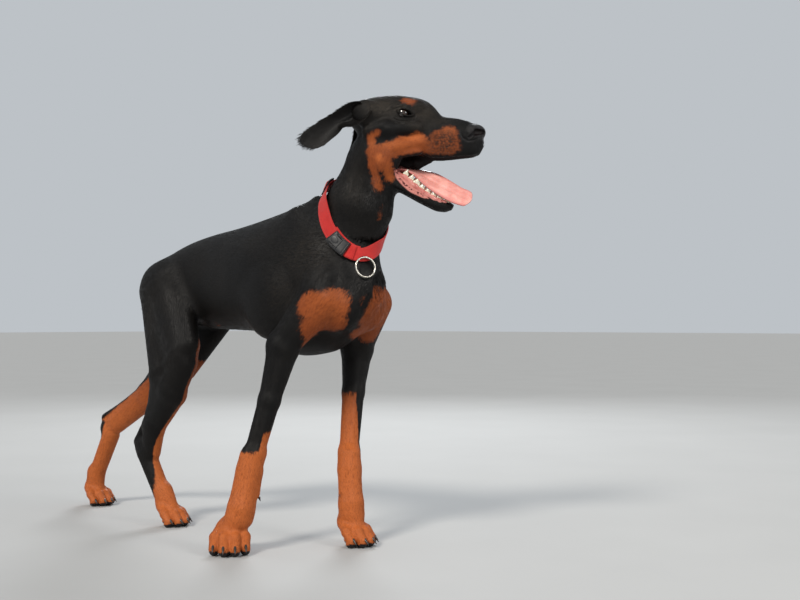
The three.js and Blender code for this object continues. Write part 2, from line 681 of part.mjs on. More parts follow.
// ears: thin leaves cupped at the root; the right one is blown back, the left one hangs beside the cheek
const EAR_SLOPE = { right: 30, left: 74 };
const EAR_SPREAD = { right: 33, left: 26 };
const EAR_FORM = table([
  [0, 6, 22], [0.15, 6, 22], [0.31, 6.5, 20.5], [0.42, 9.5, 16.5], [0.5, 7.5, 18.5], [0.62, 5.5, 20],
  [0.75, 3, 20.5], [0.87, 2.5, 18.5], [0.96, 4.5, 12.5], [1, 5, 4],
]);
function ear(s) {
  const side = s > 0 ? 'left' : 'right';
  const c = Math.cos(rad(EAR_SLOPE[side]));
  const d = Math.sin(rad(EAR_SLOPE[side]));
  return sheet(9, 5, (u, t, sgn) => {
    const [middle, wide] = EAR_FORM(u);
    const open = (1 - u) ** 1.5;
    const along = -8 + EAR_LENGTH * u - (t > 0 ? 10 * t * open : 0);
    const up = middle - t * wide;
    const cup = 22 * open + 3;
    const thick = (u < 0.15 ? EAR_THICK + (0.15 - u) * 26 : EAR_THICK) * (Math.abs(t) > 0.99 ? 0.55 : 1);
    const bow = 5 * Math.sin(u * Math.PI);
    const out = 41 + EAR_SPREAD[side] * u - bow - s * cup * (t * t - 0.4) + sgn * thick / 2;
    return HEAD.world([-c * along - d * up, s * out, -d * along + c * up]);
  });
}

// teeth and claws: short cones set in place by loops
function cone(at, dir, r, len, tip = 0.25, seg = 6) {
  const g = new THREE.CylinderGeometry(r * tip, r, len, seg);
  g.translate(0, len / 2, 0);
  const d = unit(dir);
  const sideways = unit(cross(d, Math.abs(d[2]) > 0.9 ? [1, 0, 0] : [0, 0, 1]));
  g.applyMatrix4(basis(at, sideways, d, cross(sideways, d)));
  return solid(g);
}
const JAW_AT = table(JAW);
function lowerTeeth() {
  const out = [];
  for (const s of [-1, 1]) {
    out.push(cone(JAWF.world([112, s * 11, -2]), JAWF.turn([0.15, s * 0.16, 1]), 3.6, LOWER_CANINE + 3));
    for (let i = 0; i < 3; i += 1) {
      const at = JAWF.world([119 - i * 1.3, s * (1.9 + i * 3.3), -2]);
      out.push(cone(at, JAWF.turn([0.25, 0, 1]), 1.8, 8, 0.6, 5));
    }
    for (let i = 0; i < 7; i += 1) {
      const x = 99 - i * 12.2;
      const h = i === 4 ? 14 : 9 + i * 0.7 + random() * 0.6;
      const at = JAWF.world([x, s * (14.5 + i * 1.9), JAW_AT(x)[0] - 3.5]);
      out.push(cone(at, JAWF.turn([0, s * 0.08, 1]), i === 4 ? 6.2 : 4.4, h, 0.3, 6));
    }
  }
  return out;
}
function upperTeeth() {
  const out = [];
  for (const s of [-1, 1]) {
    out.push(cone(HEAD.world([183, s * 14, -62]), HEAD.turn([0.1, 0, -1]), 4, UPPER_CANINE + 2));
    for (let i = 0; i < 3; i += 1) {
      const at = HEAD.world([193 - i * 2.4, s * (2 + i * 3.4), -63]);
      out.push(cone(at, HEAD.turn([0.1, 0, -1]), 2, 8, 0.6, 5));
    }
  }
  return out;
}
function claws(fr) {
  return TOES.map(([y, front]) => cone(
    fr.world([front + 4, y * 1.02, 15.5]), fr.turn([0.86, y * 0.004, -0.5]),
    CLAW_R * fr.scale, CLAW_LENGTH * fr.scale, 0.2, 7));
}

// tongue: broad, rolled towards the right, lying forward over the lower front teeth, its tip hanging clear
function tongue(grow) {
  const line = new THREE.CatmullRomCurve3([
    [48, 0, -100], [66, 0, -98], [88, -1, -104], [112, -3, -116], [136, -4, -130], [160, -5, -143],
    [180, -5, -151], [189, -5, -155],
  ].map((p) => new THREE.Vector3(...p)));
  const width = table([
    [0, 12], [0.2, 17], [0.42, TONGUE_HALF - 1], [0.7, TONGUE_HALF], [0.88, 19], [0.96, 13], [1, 5],
  ]);
  const roll = table([[0, 0], [0.25, 14], [0.5, TONGUE_ROLL], [0.8, TONGUE_ROLL], [1, TONGUE_ROLL - 8]]);
  return sheet(12, 6, (u, t, sgn) => {
    const c = line.getPoint(u);
    const d = line.getTangent(u);
    const normal = unit([-d.z, 0, d.x]);
    const turn = rad(roll(u)[0]);
    const side = add(mul([0, 1, 0], Math.cos(turn)), mul(normal, Math.sin(turn)));
    const up = add(mul(normal, Math.cos(turn)), mul([0, 1, 0], -Math.sin(turn)));
    const w = width(u)[0] + grow;
    const h = (TONGUE_THICK / 2 * (1 - 0.55 * t ** 4) * (1 - 0.45 * u ** 6)) + grow;
    const edge = 3.2 * t * t * Math.sin(Math.min(1, u * 1.3) * Math.PI);
    const groove = -1.6 * Math.exp(-((t / 0.25) ** 2)) + edge;
    const end = u === 0 ? -grow : (u === 1 ? grow : 0);
    const p = add([c.x + d.x * end, c.y, c.z + d.z * end], add(mul(side, t * w), mul(up, groove + sgn * h)));
    return HEAD.world(p);
  });
}

const tongueSolid = tongue(0);
const tongueRoom = tongue(0.5);

const ears = { ear_right: ear(-1), ear_left: ear(1) };
let headSolid = headRaw.intersect(headSide).subtract(jawCutOut).subtract(noseCutOut);
for (const t of upperTeeth()) headSolid = headSolid.add(t);
let jawSolid = headRaw.intersect(headSide).intersect(jawCut);
for (const t of lowerTeeth()) jawSolid = jawSolid.add(t.intersect(jawCut));
headSolid = headSolid.subtract(tongueRoom);
jawSolid = jawSolid.subtract(tongueRoom);
for (const s of [-1, 1]) headSolid = headSolid.add(lids(s)).subtract(almond(NODE_GAP, s));
bodySkin.head = largest(headSolid);
bodySkin.lower_jaw = largest(jawSolid);
let noseSolid = headRaw.intersect(noseCut);
for (const s of [-1, 1]) noseSolid = noseSolid.subtract(nostril(s));
bodySkin.nose = largest(noseSolid);
bodySkin.tongue = tongueSolid;
bodySkin.eye_right = eyeball(-1, EYE_R).intersect(almond(0, -1));
bodySkin.eye_left = eyeball(1, EYE_R).intersect(almond(0, 1));
for (const [name, g] of Object.entries(ears)) bodySkin[name] = largest(g.subtract(headOut).subtract(neckRaw));
bodySkin.neck = largest(neckRaw.subtract(headSideOut).intersect(neckSide));

// legs
const legBox = {
  foreleg_right: { p: [0, -57, 345], n: [0, -1, -0.24], x: [206, 470] },
  foreleg_left: { p: [0, 57, 345], n: [0, 1, -0.24], x: [218, 470] },
  hindleg_right: { p: [0, -27, 400], n: [0, -1, -0.25], x: [-330, 30] },
  hindleg_left: { p: [0, 27, 400], n: [0, 1, -0.25], x: [-560, 8] },
};
function legCut(c, grow) {
  const n = unit(c.n);
  const g = new THREE.BoxGeometry(c.x[1] - c.x[0] + 2 * grow, 1000, 300 + grow);
  g.translate((c.x[0] + c.x[1]) / 2, 0, (300 - grow) / 2);
  g.applyMatrix4(basis(c.p, [1, 0, 0], cross(n, [1, 0, 0]), n));
  return solid(g);
}
const legRegion = {
  foreleg_right: [[150, -260, -30], [430, -20, 560], [14, 14, 20]],
  foreleg_left: [[170, -50, -30], [450, 160, 560], [14, 14, 20]],
  hindleg_right: [[-300, -150, -30], [80, 10, 620], [18, 16, 19]],
  hindleg_left: [[-540, -40, -30], [40, 130, 620], [18, 16, 18]],
};
const pawOf = {
  foreleg_right: 'paw_front_right',
  foreleg_left: 'paw_front_left',
  hindleg_right: 'paw_hind_right',
  hindleg_left: 'paw_hind_left',
};
const ANKLE = 46;
const floorCut = box([-900, -600, 0], [900, 600, 900]);
let torso = torsoRaw.subtract(neckSideOut);
for (const [name, c] of Object.entries(legBox)) {
  const room = legCut(c, NODE_GAP);
  torso = torso.subtract(room);
  const [lo, hi, cell] = legRegion[name];
  const fr = PAWS[pawOf[name]];
  const ankle = ANKLE * fr.scale;
  const raw = skin(lo, hi, cell);
  const above = box([-900, -600, ankle + NODE_GAP], [900, 600, 900]);
  bodySkin[name] = largest(raw.intersect(legCut(c, 0)).intersect(above).subtract(neckSideOut));
  const r = 70;
  const o = fr.origin;
  let paw = skin([o[0] - r, o[1] - r, -12], [o[0] + r, o[1] + r, ankle + 24], [10.2, 10.2, 10.2]);
  paw = paw.intersect(box([-900, -600, 0], [900, 600, ankle]));
  for (const c2 of claws(fr)) paw = paw.add(c2);
  bodySkin[pawOf[name]] = largest(paw);
}
const tailCut = { p: [-222, 0, 484], n: [-0.84, 0, -0.55] };
torso = torso.subtract(half(sub(tailCut.p, mul(unit(tailCut.n), NODE_GAP)), tailCut.n, [80, 44.6], 120));
bodySkin.torso = largest(torso);
const tailRaw = skin([-300, -60, 410], [-190, 60, 540], [10, 10, 10]);
bodySkin.tail = largest(tailRaw.intersect(half(tailCut.p, tailCut.n, [80, 44], 120)));

// collar: nylon band, side-release buckle, welded ring, slide
const COLLAR_AT = [333, -4, 602];
const COLLAR_N = unit([0.77, -0.2, 0.6]);
const COLLAR_U = unit(sub([-1, 0, 0], mul(COLLAR_N, dot([-1, 0, 0], COLLAR_N))));
const COLLAR_V = cross(COLLAR_N, COLLAR_U);
const COLLAR_SEG = 40;
// the band sags on the right side under its buckle: angle round the neck from the nape, shift along the neck
const COLLAR_SAG = table([
  [0, 1], [30, -3.5], [60, -7], [90, -10.5], [125, -12], [148, -8.5], [165, -1.5], [182, 3.5], [230, 2],
  [280, 1], [325, 1], [360, 1],
]);
const collarDir = (a) => add(mul(COLLAR_U, Math.cos(a)), mul(COLLAR_V, Math.sin(a)));
const sag = (a) => COLLAR_SAG(((a * 180 / Math.PI) % 360 + 360) % 360)[0];
// the outline of the neck round the axis of the collar, found by marching out from its middle
function neckRadius(angle, lift) {
  const dir = collarDir(angle);
  let r = 20;
  for (let i = 0; i < 60; i += 1) {
    const f = field(add(add(COLLAR_AT, mul(COLLAR_N, lift + sag(angle))), mul(dir, r)));
    if (f > 0) break;
    r += clamp(-f, 0.5, 6);
  }
  return r;
}
const ringOf = (list, i) => list[(i + COLLAR_SEG) % COLLAR_SEG];
const stepAngle = (i) => i / COLLAR_SEG * 2 * Math.PI;
// the band's middle line on the skin, with the way across it and the way out at each step
const COLLAR_LIFT = 1.4;
function slopeAt(p) {
  return unit([0, 1, 2].map((c) => {
    const d = [0, 0, 0];
    d[c] = 1.5;
    return field(add(p, d)) - field(sub(p, d));
  }));
}
const eased = (list) => list.map((v, i) => (
  mul(add(add(ringOf(list, i - 1), mul(v, 2)), ringOf(list, i + 1)), 0.25)
));
let line = Array.from({ length: COLLAR_SEG }, (_, i) => {
  const a = stepAngle(i);
  return add(add(COLLAR_AT, mul(COLLAR_N, sag(a))), mul(collarDir(a), neckRadius(a, 0)));
});
line = eased(eased(line));
const faceOut = eased(eased(line.map(slopeAt)));
const acrossBand = line.map((p, i) => {
  const w = unit(cross(faceOut[i], sub(ringOf(line, i + 1), ringOf(line, i - 1))));
  return dot(w, COLLAR_N) > 0 ? w : mul(w, -1);
});
let push = line.map((p, i) => {
  let q = 0;
  const close = () => Math.min(...[-15, -10, -5, 0, 5, 10, 15].map((w) => (
    field(add(add(p, mul(unit(faceOut[i]), q)), mul(acrossBand[i], w))))));
  while (q < 30 && close() < COLLAR_LIFT) q += 0.4;
  return q;
});
for (let pass = 0; pass < 2; pass += 1) {
  push = push.map((v, i) => Math.max(v, (ringOf(push, i - 1) + ringOf(push, i + 1)) / 2));
}
function collarPoint(angle, along, out) {
  const t = ((angle % (2 * Math.PI)) + 2 * Math.PI) % (2 * Math.PI) / (2 * Math.PI) * COLLAR_SEG;
  const i = Math.floor(t + 1e-9);
  const at = (j) => {
    const k = (j + COLLAR_SEG) % COLLAR_SEG;
    return add(add(line[k], mul(unit(faceOut[k]), push[k] + out)), mul(acrossBand[k], along));
  };
  return mix(at(i), at(i + 1), Math.max(0, t - i));
}
function band() {
  const verts = [];
  const idx = [];
  const w = COLLAR_WIDTH / 2;
  for (let i = 0; i < COLLAR_SEG; i += 1) {
    const a = i / COLLAR_SEG * 2 * Math.PI;
    for (const [al, o] of [[-w, 0], [w, 0], [w, COLLAR_THICK], [-w, COLLAR_THICK]]) {
      verts.push(...collarPoint(a, al, o));
    }
  }
  for (let i = 0; i < COLLAR_SEG; i += 1) {
    const n = (i + 1) % COLLAR_SEG;
    for (let j = 0; j < 4; j += 1) {
      const k = (j + 1) % 4;
      idx.push(i * 4 + j, i * 4 + k, n * 4 + j, i * 4 + k, n * 4 + k, n * 4 + j);
    }
  }
  return closed(verts, idx);
}
// a block riding on the band between two angles, following its curve
function saddle(a0, a1, w0, w1, o0, o1, steps = 4) {
  const verts = [];
  for (let i = 0; i <= steps; i += 1) {
    const a = a0 + (a1 - a0) * i / steps;
    for (const [al, q] of [[w1, o0], [-w0, o0], [-w0, o1], [w1, o1]]) verts.push(...collarPoint(a, al, q));
  }
  const idx = [];
  for (let i = 0; i < steps; i += 1) {
    for (let j = 0; j < 4; j += 1) {
      const k = (j + 1) % 4;
      idx.push(i * 4 + j, i * 4 + k, i * 4 + 4 + j, i * 4 + k, i * 4 + 4 + k, i * 4 + 4 + j);
    }
  }
  const e = steps * 4;
  idx.push(0, 2, 1, 0, 3, 2, e, e + 1, e + 2, e, e + 2, e + 3);
  return closed(verts, idx);
}
const o = COLLAR_THICK + 0.3;
const STEP = 360 / COLLAR_SEG;
bodySkin.collar_band = band();
bodySkin.collar_buckle = saddle(rad(12 * STEP), rad(15 * STEP), 15, 15, o, o + 8, 3);
bodySkin.collar_keeper = saddle(rad(15.1 * STEP), rad(16 * STEP), 14, 14, o + 0.2, o + 4, 1);
bodySkin.collar_slide = saddle(rad(-2 * STEP), 0, 15, 15, o, o + 3, 2);
const ringAngle = rad(17.1 * STEP);
const ringTop = collarPoint(ringAngle, -COLLAR_WIDTH / 2 + 6, o + RING_WIRE_R + 2);
const away = unit(sub(collarPoint(ringAngle, 0, 10), collarPoint(ringAngle, 0, 0)));
const clear = mul(unit([away[0], away[1], 0]), 0.8);
let ringFoot = add(ringTop, [0, 0, -2 * RING_R]);
for (let i = 0; i < 60 && field(ringFoot) < RING_WIRE_R + 3; i += 1) ringFoot = add(ringFoot, clear);
const ringDown = unit(sub(ringFoot, ringTop));
const ringOut = unit(sub(away, mul(ringDown, dot(away, ringDown))));
const ringGeo = new THREE.TorusGeometry(RING_R, RING_WIRE_R, 6, 18);
ringGeo.applyMatrix4(basis(add(ringTop, mul(ringDown, RING_R)), cross(ringDown, ringOut), ringDown, ringOut));
bodySkin.collar_ring = solid(ringGeo);

// nodes
const COLOURS = {
  head: 0x1a1716, neck: 0x171514, torso: 0x171514, nose: 0x0d0d0e, lower_jaw: 0x1c1614, tongue: 0xd98a86,
  ear_right: 0x161312, ear_left: 0x161312, eye_right: 0x24150d, eye_left: 0x24150d, tail: 0x171514,
  foreleg_right: 0x2a1c15, foreleg_left: 0x2a1c15, hindleg_right: 0x201814, hindleg_left: 0x201814,
  paw_front_right: 0x9a4f26, paw_front_left: 0x9a4f26, paw_hind_right: 0x9a4f26, paw_hind_left: 0x9a4f26,
  collar_band: 0xc8202c,
  collar_buckle: 0x101010,
  collar_keeper: 0xc8202c,
  collar_slide: 0x101010,
  collar_ring: 0xc9ccd0,
};
const group = new THREE.Group();
group.name = 'doberman_pinscher';
for (const [name, s] of Object.entries(bodySkin)) {
  const m = s.getMesh();
  const g = new THREE.BufferGeometry();
  const count = m.vertProperties.length / m.numProp;
  const pos = new Float32Array(count * 3);
  for (let i = 0; i < count; i += 1) {
    for (let c = 0; c < 3; c += 1) pos[i * 3 + c] = m.vertProperties[i * m.numProp + c];
  }
  g.setAttribute('position', new THREE.BufferAttribute(pos, 3));
  g.setIndex(Array.from(m.triVerts));
  g.computeVertexNormals();
  const metal = name === 'collar_ring';
  const mesh = new THREE.Mesh(g, new THREE.MeshStandardMaterial({
    color: COLOURS[name], metalness: metal ? 0.95 : 0, roughness: metal ? 0.25 : 0.6,
  }));
  mesh.name = name;
  group.add(mesh);
}
const bounds = new THREE.Box3().setFromObject(group);
const shift = [-(bounds.min.x + bounds.max.x) / 2, -(bounds.min.y + bounds.max.y) / 2, -bounds.min.z];
for (const mesh of group.children) mesh.geometry.translate(...shift);

export default group; export { shift };
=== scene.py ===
"""A young doberman pinscher standing with its head raised, as a life-size museum model."""
import math
import bpy
import numpy as np
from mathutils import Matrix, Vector


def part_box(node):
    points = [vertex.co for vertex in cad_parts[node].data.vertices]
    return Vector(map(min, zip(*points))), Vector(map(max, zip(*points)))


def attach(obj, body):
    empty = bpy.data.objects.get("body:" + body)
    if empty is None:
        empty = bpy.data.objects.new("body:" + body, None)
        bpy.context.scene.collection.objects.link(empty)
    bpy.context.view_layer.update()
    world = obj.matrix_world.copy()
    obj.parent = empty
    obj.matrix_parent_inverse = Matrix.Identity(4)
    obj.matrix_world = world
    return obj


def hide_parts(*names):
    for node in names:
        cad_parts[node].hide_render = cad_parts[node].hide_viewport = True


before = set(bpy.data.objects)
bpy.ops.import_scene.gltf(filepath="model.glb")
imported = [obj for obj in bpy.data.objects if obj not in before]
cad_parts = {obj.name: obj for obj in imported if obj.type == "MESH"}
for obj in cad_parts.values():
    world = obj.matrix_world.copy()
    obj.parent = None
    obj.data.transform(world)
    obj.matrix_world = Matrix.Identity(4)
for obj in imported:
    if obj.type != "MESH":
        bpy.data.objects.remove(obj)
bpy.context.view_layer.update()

MM = 0.001
FAR = 60.0                                # mm, the field's value where nothing is near
COAT_DEPTH = 1.2                          # mm from the solids' faces to the skin
BODY_CELL, HEAD_CELL = 4.0, 1.8           # mm, the grids that the skin is sampled on
TUFTS = 210000
rng = np.random.default_rng(11)

# the sculpting frame is in mm with the floor at z = 0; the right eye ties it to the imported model
EYE_CENTRE = np.array([444.825, 23.91, 782.02])
lo, hi = (np.array(v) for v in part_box("eye_right"))
SHIFT = (lo + hi) / 2 / MM - EYE_CENTRE
SHIFT[2] = 0.0


# --- solid fields
def unit(v):
    v = np.asarray(v, float)
    return v / np.maximum(np.linalg.norm(v, axis=-1, keepdims=True), 1e-9)


class Frame:
    """A local frame: yaw about z, then pitch (nose up positive), with an even scale."""
    def __init__(self, origin=(0, 0, 0), yaw=0, pitch=0, scale=1.0):
        y, p = math.radians(yaw), math.radians(pitch)
        cy, sy, cp, sp = math.cos(y), math.sin(y), math.cos(p), math.sin(p)
        self.m = np.array([[cy * cp, -sy, -cy * sp], [sy * cp, cy, -sy * sp], [sp, 0, cp]])
        self.o = np.array(origin, float)
        self.scale = scale

    def local(self, p):
        return ((np.asarray(p, float) - self.o) @ self.m) / self.scale

    def world(self, q):
        return (np.asarray(q, float) * self.scale) @ self.m.T + self.o

    def turn(self, q):
        return np.asarray(q, float) @ self.m.T


def smin(a, b, k):
    h = np.clip(0.5 + 0.5 * (b - a) / k, 0, 1)
    return b + (a - b) * h - k * h * (1 - h)


def table(rows, n=200):
    """Monotone smooth curves through rows keyed by their first number."""
    rows = np.array(rows, float)
    xs, ys = rows[:, 0], rows[:, 1:]
    dx = np.diff(xs)[:, None]
    sl = np.diff(ys, axis=0) / dx
    m = np.zeros_like(ys)
    m[0], m[-1] = sl[0], sl[-1]
    for i in range(1, len(xs) - 1):
        a, b = sl[i - 1], sl[i]
        s = np.where(a * b > 0, a + b, 1)
        m[i] = np.where(a * b > 0, 2 * a * b / s, 0)
    x = np.linspace(xs[0], xs[-1], n)
    j = np.clip(np.searchsorted(xs, x, side="right") - 1, 0, len(xs) - 2)
    t = ((x - xs[j]) / (xs[j + 1] - xs[j]))[:, None]
    h = (xs[j + 1] - xs[j])[:, None]
    y = ((2 * t**3 - 3 * t**2 + 1) * ys[j] + (t**3 - 2 * t**2 + t) * h * m[j]
         + (-2 * t**3 + 3 * t**2) * ys[j + 1] + (t**3 - t**2) * h * m[j + 1])
    return lambda v: [np.interp(v, x, y[:, i]) for i in range(y.shape[1])]


class Ball:
    """An ellipsoid."""
    def __init__(self, c, r, k=10, cut=False):
        self.c, self.r = np.array(c, float), np.array(r, float) * np.ones(3)
        self.k, self.cut = k, cut
        self.lo, self.hi = self.c - self.r.max(), self.c + self.r.max()

    def d(self, p):
        a = (p - self.c) / self.r
        k0 = np.sqrt((a * a).sum(1)) + 1e-6
        b = a / self.r
        return k0 * (k0 - 1) / (np.sqrt((b * b).sum(1)) + 1e-9)


class Limb:
    """A tapered capsule, squeezed to `flat` of its radius along `side`."""
    def __init__(self, a, b, ra, rb, k=10, flat=1.0, side=(0, 1, 0), cut=False):
        self.a, self.b = np.array(a, float), np.array(b, float)
        self.ra, self.rb, self.k, self.flat, self.cut = ra, rb, k, flat, cut
        ax = self.b - self.a
        self.len = np.linalg.norm(ax)
        self.ax = ax / self.len
        sd = np.array(side, float)
        if np.linalg.norm(np.cross(sd, self.ax)) < 1e-3:  # a limb that runs along its own side
            sd = np.array([0.0, 0.0, 1.0])
        self.sd = unit(sd - sd @ self.ax * self.ax)
        self.up = np.cross(self.ax, self.sd)
        m = max(ra, rb)
        self.lo, self.hi = np.minimum(self.a, self.b) - m, np.maximum(self.a, self.b) + m

    def d(self, p):
        q = p - self.a
        t = q @ self.ax
        tc = np.clip(t, 0, self.len)
        r = self.ra + (self.rb - self.ra) * tc / self.len
        w = r * self.flat
        e = np.minimum(r, w)
        a, b, c = q @ self.sd / w, q @ self.up / r, (t - tc) / e
        k0 = np.sqrt(a * a + b * b + c * c) + 1e-6
        return k0 * (k0 - 1) / (np.sqrt((a / w)**2 + (b / r)**2 + (c / e)**2) + 1e-9)


class Loft:
    """Sections along x: x, top, bottom, half width, widest level, roundness above and below."""
    def __init__(self, rows, k=10, cut=False):
        rows = np.array(rows, float)
        self.k, self.cut = k, cut
        self.at = table(rows)
        self.x0, self.x1 = rows[0, 0], rows[-1, 0]
        w = rows[:, 3].max()
        self.lo = np.array([self.x0, -w, rows[:, 2].min()])
        self.hi = np.array([self.x1, w, rows[:, 1].max()])

    def d(self, p):
        x = np.clip(p[:, 0], self.x0, self.x1)
        e = p[:, 0] - x
        top, bottom, half, level, nu, nd = self.at(x)
        h = p[:, 2] - level
        full = np.where(h > 0, top - level, level - bottom)
        n = np.where(h > 0, nu, nd)
        a = np.abs(p[:, 1]) / half + 1e-7
        b = np.abs(h) / full + 1e-7
        k0 = (a**n + b**n)**(1 / n)
        d = (k0 - 1) / np.sqrt(((a / k0)**(n - 1) / half)**2 + ((b / k0)**(n - 1) / full)**2)
        return np.where(e == 0, d, np.where(d > 0, np.sqrt(d * d + e * e), np.abs(e)))


class Field:
    """Solids joined or cut one after another with soft edges, each in a frame of its own if it has one."""
    def __init__(self, items=()):
        self.items = list(items)
        self.boxes = None

    def add(self, fr, parts):
        self.boxes = None
        for p in parts:
            lo, hi, s = p.lo, p.hi, 1.0
            if fr is not None:
                c = fr.world([[x, y, z] for x in (p.lo[0], p.hi[0]) for y in (p.lo[1], p.hi[1])
                              for z in (p.lo[2], p.hi[2])])
                lo, hi, s = c.min(0), c.max(0), fr.scale
            self.items.append((fr, p, lo, hi, p.k * s, s))

    def __call__(self, p, margin=14.0):
        p = np.asarray(p, float)
        if self.boxes is None:
            k = np.array([it[4] for it in self.items])[:, None]
            self.boxes = (np.array([it[2] for it in self.items]) - k, np.array([it[3] for it in self.items]) + k)
        f = np.full(len(p), FAR)
        near = ((self.boxes[0] - margin <= p.max(0)) & (self.boxes[1] + margin >= p.min(0))).all(1)
        for i in np.flatnonzero(near):
            fr, part, lo, hi, k, s = self.items[i]
            sel = np.all((p > lo - margin - k) & (p < hi + margin + k), axis=1)
            if not sel.any():
                continue
            q = p[sel]
            d = part.d(q if fr is None else fr.local(q)) * s
            f[sel] = -smin(-f[sel], d, k) if part.cut else smin(f[sel], d, k)
        return f

    def slope(self, p, h=0.35):
        """Value and gradient from four samples round each point."""
        corners = np.array([(1, 1, 1), (1, -1, -1), (-1, 1, -1), (-1, -1, 1)], float)
        f = np.stack([self(p + c * h) for c in corners], 1)
        return np.concatenate([f.mean(1, keepdims=True), f @ corners / (4 * h)], 1)


def in_blocks(fun, p, size=50.0):
    """Evaluate a field over scattered points, block by block in space."""
    key = np.floor(p / size).astype(int)
    key = (key[:, 0] * 4096 + key[:, 1]) * 4096 + key[:, 2]
    order = np.argsort(key, kind="stable")
    edges = np.flatnonzero(np.diff(key[order])) + 1
    out = None
    for part in np.split(order, edges):
        v = fun(p[part])
        if out is None:
            out = np.empty((len(p),) + v.shape[1:])
        out[part] = v
    return out


def sample(field, lo, hi, cell, block=4):
    """The field on a grid, finely only near its surface."""
    lo = np.array(lo, float)
    n = (np.ceil((np.array(hi) - lo) / cell / block).astype(int) + 1) * block
    grid = np.stack(np.meshgrid(*[np.arange(0, m, block) for m in n], indexing="ij"), -1)
    f = in_blocks(field, (lo + cell * (grid + (block - 1) / 2)).reshape(-1, 3), 90.0).reshape(grid.shape[:3])
    out = np.copysign(FAR, f).astype(np.float32)
    for a in range(3):
        out = np.repeat(out, block, axis=a)
    corner = grid[np.abs(f) < block * cell * 1.2 + 8]
    step = np.stack(np.meshgrid(*[np.arange(block)] * 3, indexing="ij"), -1).reshape(-1, 3)
    index = (corner[:, None, :] + step).reshape(-1, 3)
    out[tuple(index.T)] = in_blocks(field, lo + cell * index, 40.0)
    return out, lo


def surface_nets(values, lo, cell):
    """Quads with one vertex in each cell of the grid that the surface crosses."""
    for a in range(3):
        edge = [slice(None)] * 3
        for e in (0, -1):
            edge[a] = e
            values[tuple(edge)] = FAR
    inside = values < 0
    n = np.array(values.shape) - 1
    corners = [(a, b, c) for a in (0, 1) for b in (0, 1) for c in (0, 1)]
    count = sum(inside[a:a + n[0], b:b + n[1], c:c + n[2]].astype(np.int8) for a, b, c in corners)
    active = (count > 0) & (count < 8)
    index = np.full(n, -1, np.int64)
    cells = np.argwhere(active)
    index[active] = np.arange(len(cells))
    acc, num = np.zeros((len(cells), 3)), np.zeros(len(cells))
    for a in range(3):
        b, c = [o for o in range(3) if o != a]
        for p in (0, 1):
            for q in (0, 1):
                o0 = np.zeros(3, int)
                o0[b], o0[c] = p, q
                o1 = o0.copy()
                o1[a] = 1
                f0, f1 = values[tuple((cells + o0).T)], values[tuple((cells + o1).T)]
                m = (f0 < 0) != (f1 < 0)
                pos = np.tile(o0.astype(float), (len(cells), 1))
                pos[:, a] = f0 / np.where(m, f0 - f1, 1)
                acc[m] += pos[m]
                num[m] += 1
    verts = lo + cell * (cells + acc / num[:, None])
    quads = []
    for a in range(3):
        b, c = (a + 1) % 3, (a + 2) % 3
        s0, s1 = [slice(None)] * 3, [slice(None)] * 3
        s0[a], s1[a] = slice(0, -1), slice(1, None)
        e = np.argwhere(inside[tuple(s0)] != inside[tuple(s1)])
        e = e[(e[:, b] > 0) & (e[:, c] > 0) & (e[:, b] < values.shape[b] - 1) & (e[:, c] < values.shape[c] - 1)]
        turned = inside[tuple(e.T)]
        four = []
        for db, dc in ((0, 0), (1, 0), (1, 1), (0, 1)):
            q = e.copy()
            q[:, b] -= db
            q[:, c] -= dc
            four.append(index[tuple(q.T)])
        four = np.stack(four, 1)
        four[~turned] = four[~turned][:, ::-1]
        quads.append(four)
    return verts, np.concatenate(quads)


def project(field, verts, iso, limit=2.0):
    """Move vertices along the field's slope to the level iso, by `limit` at most."""
    fg = in_blocks(field.slope, verts)
    g = fg[:, 1:]
    st = -((fg[:, 0] - iso) / ((g * g).sum(1) + 1e-3))[:, None] * g
    far = np.linalg.norm(st, axis=1) + 1e-9
    return verts + st * np.minimum(1, limit / far)[:, None]


def to_tris(verts, quads):
    """Each quad split along its shorter diagonal."""
    a = np.linalg.norm(verts[quads[:, 0]] - verts[quads[:, 2]], axis=1)
    b = np.linalg.norm(verts[quads[:, 1]] - verts[quads[:, 3]], axis=1)
    q = np.where((a < b)[:, None], quads, np.roll(quads, -1, axis=1))
    return np.concatenate([q[:, [0, 1, 2]], q[:, [0, 2, 3]]])


def grid_quads(rows, around, closed=False, flip=False):
    """Quads between rings of points, row by row, and from the last row to the first where it is closed."""
    i, j = (g.ravel() for g in np.meshgrid(np.arange(rows if closed else rows - 1), np.arange(around), indexing="ij"))
    here, there, along = i * around, (i + 1) % rows * around, (j + 1) % around
    return np.stack([here + j, here + along, there + along, there + j], 1)[:, [0, 3, 2, 1] if flip else [0, 1, 2, 3]]


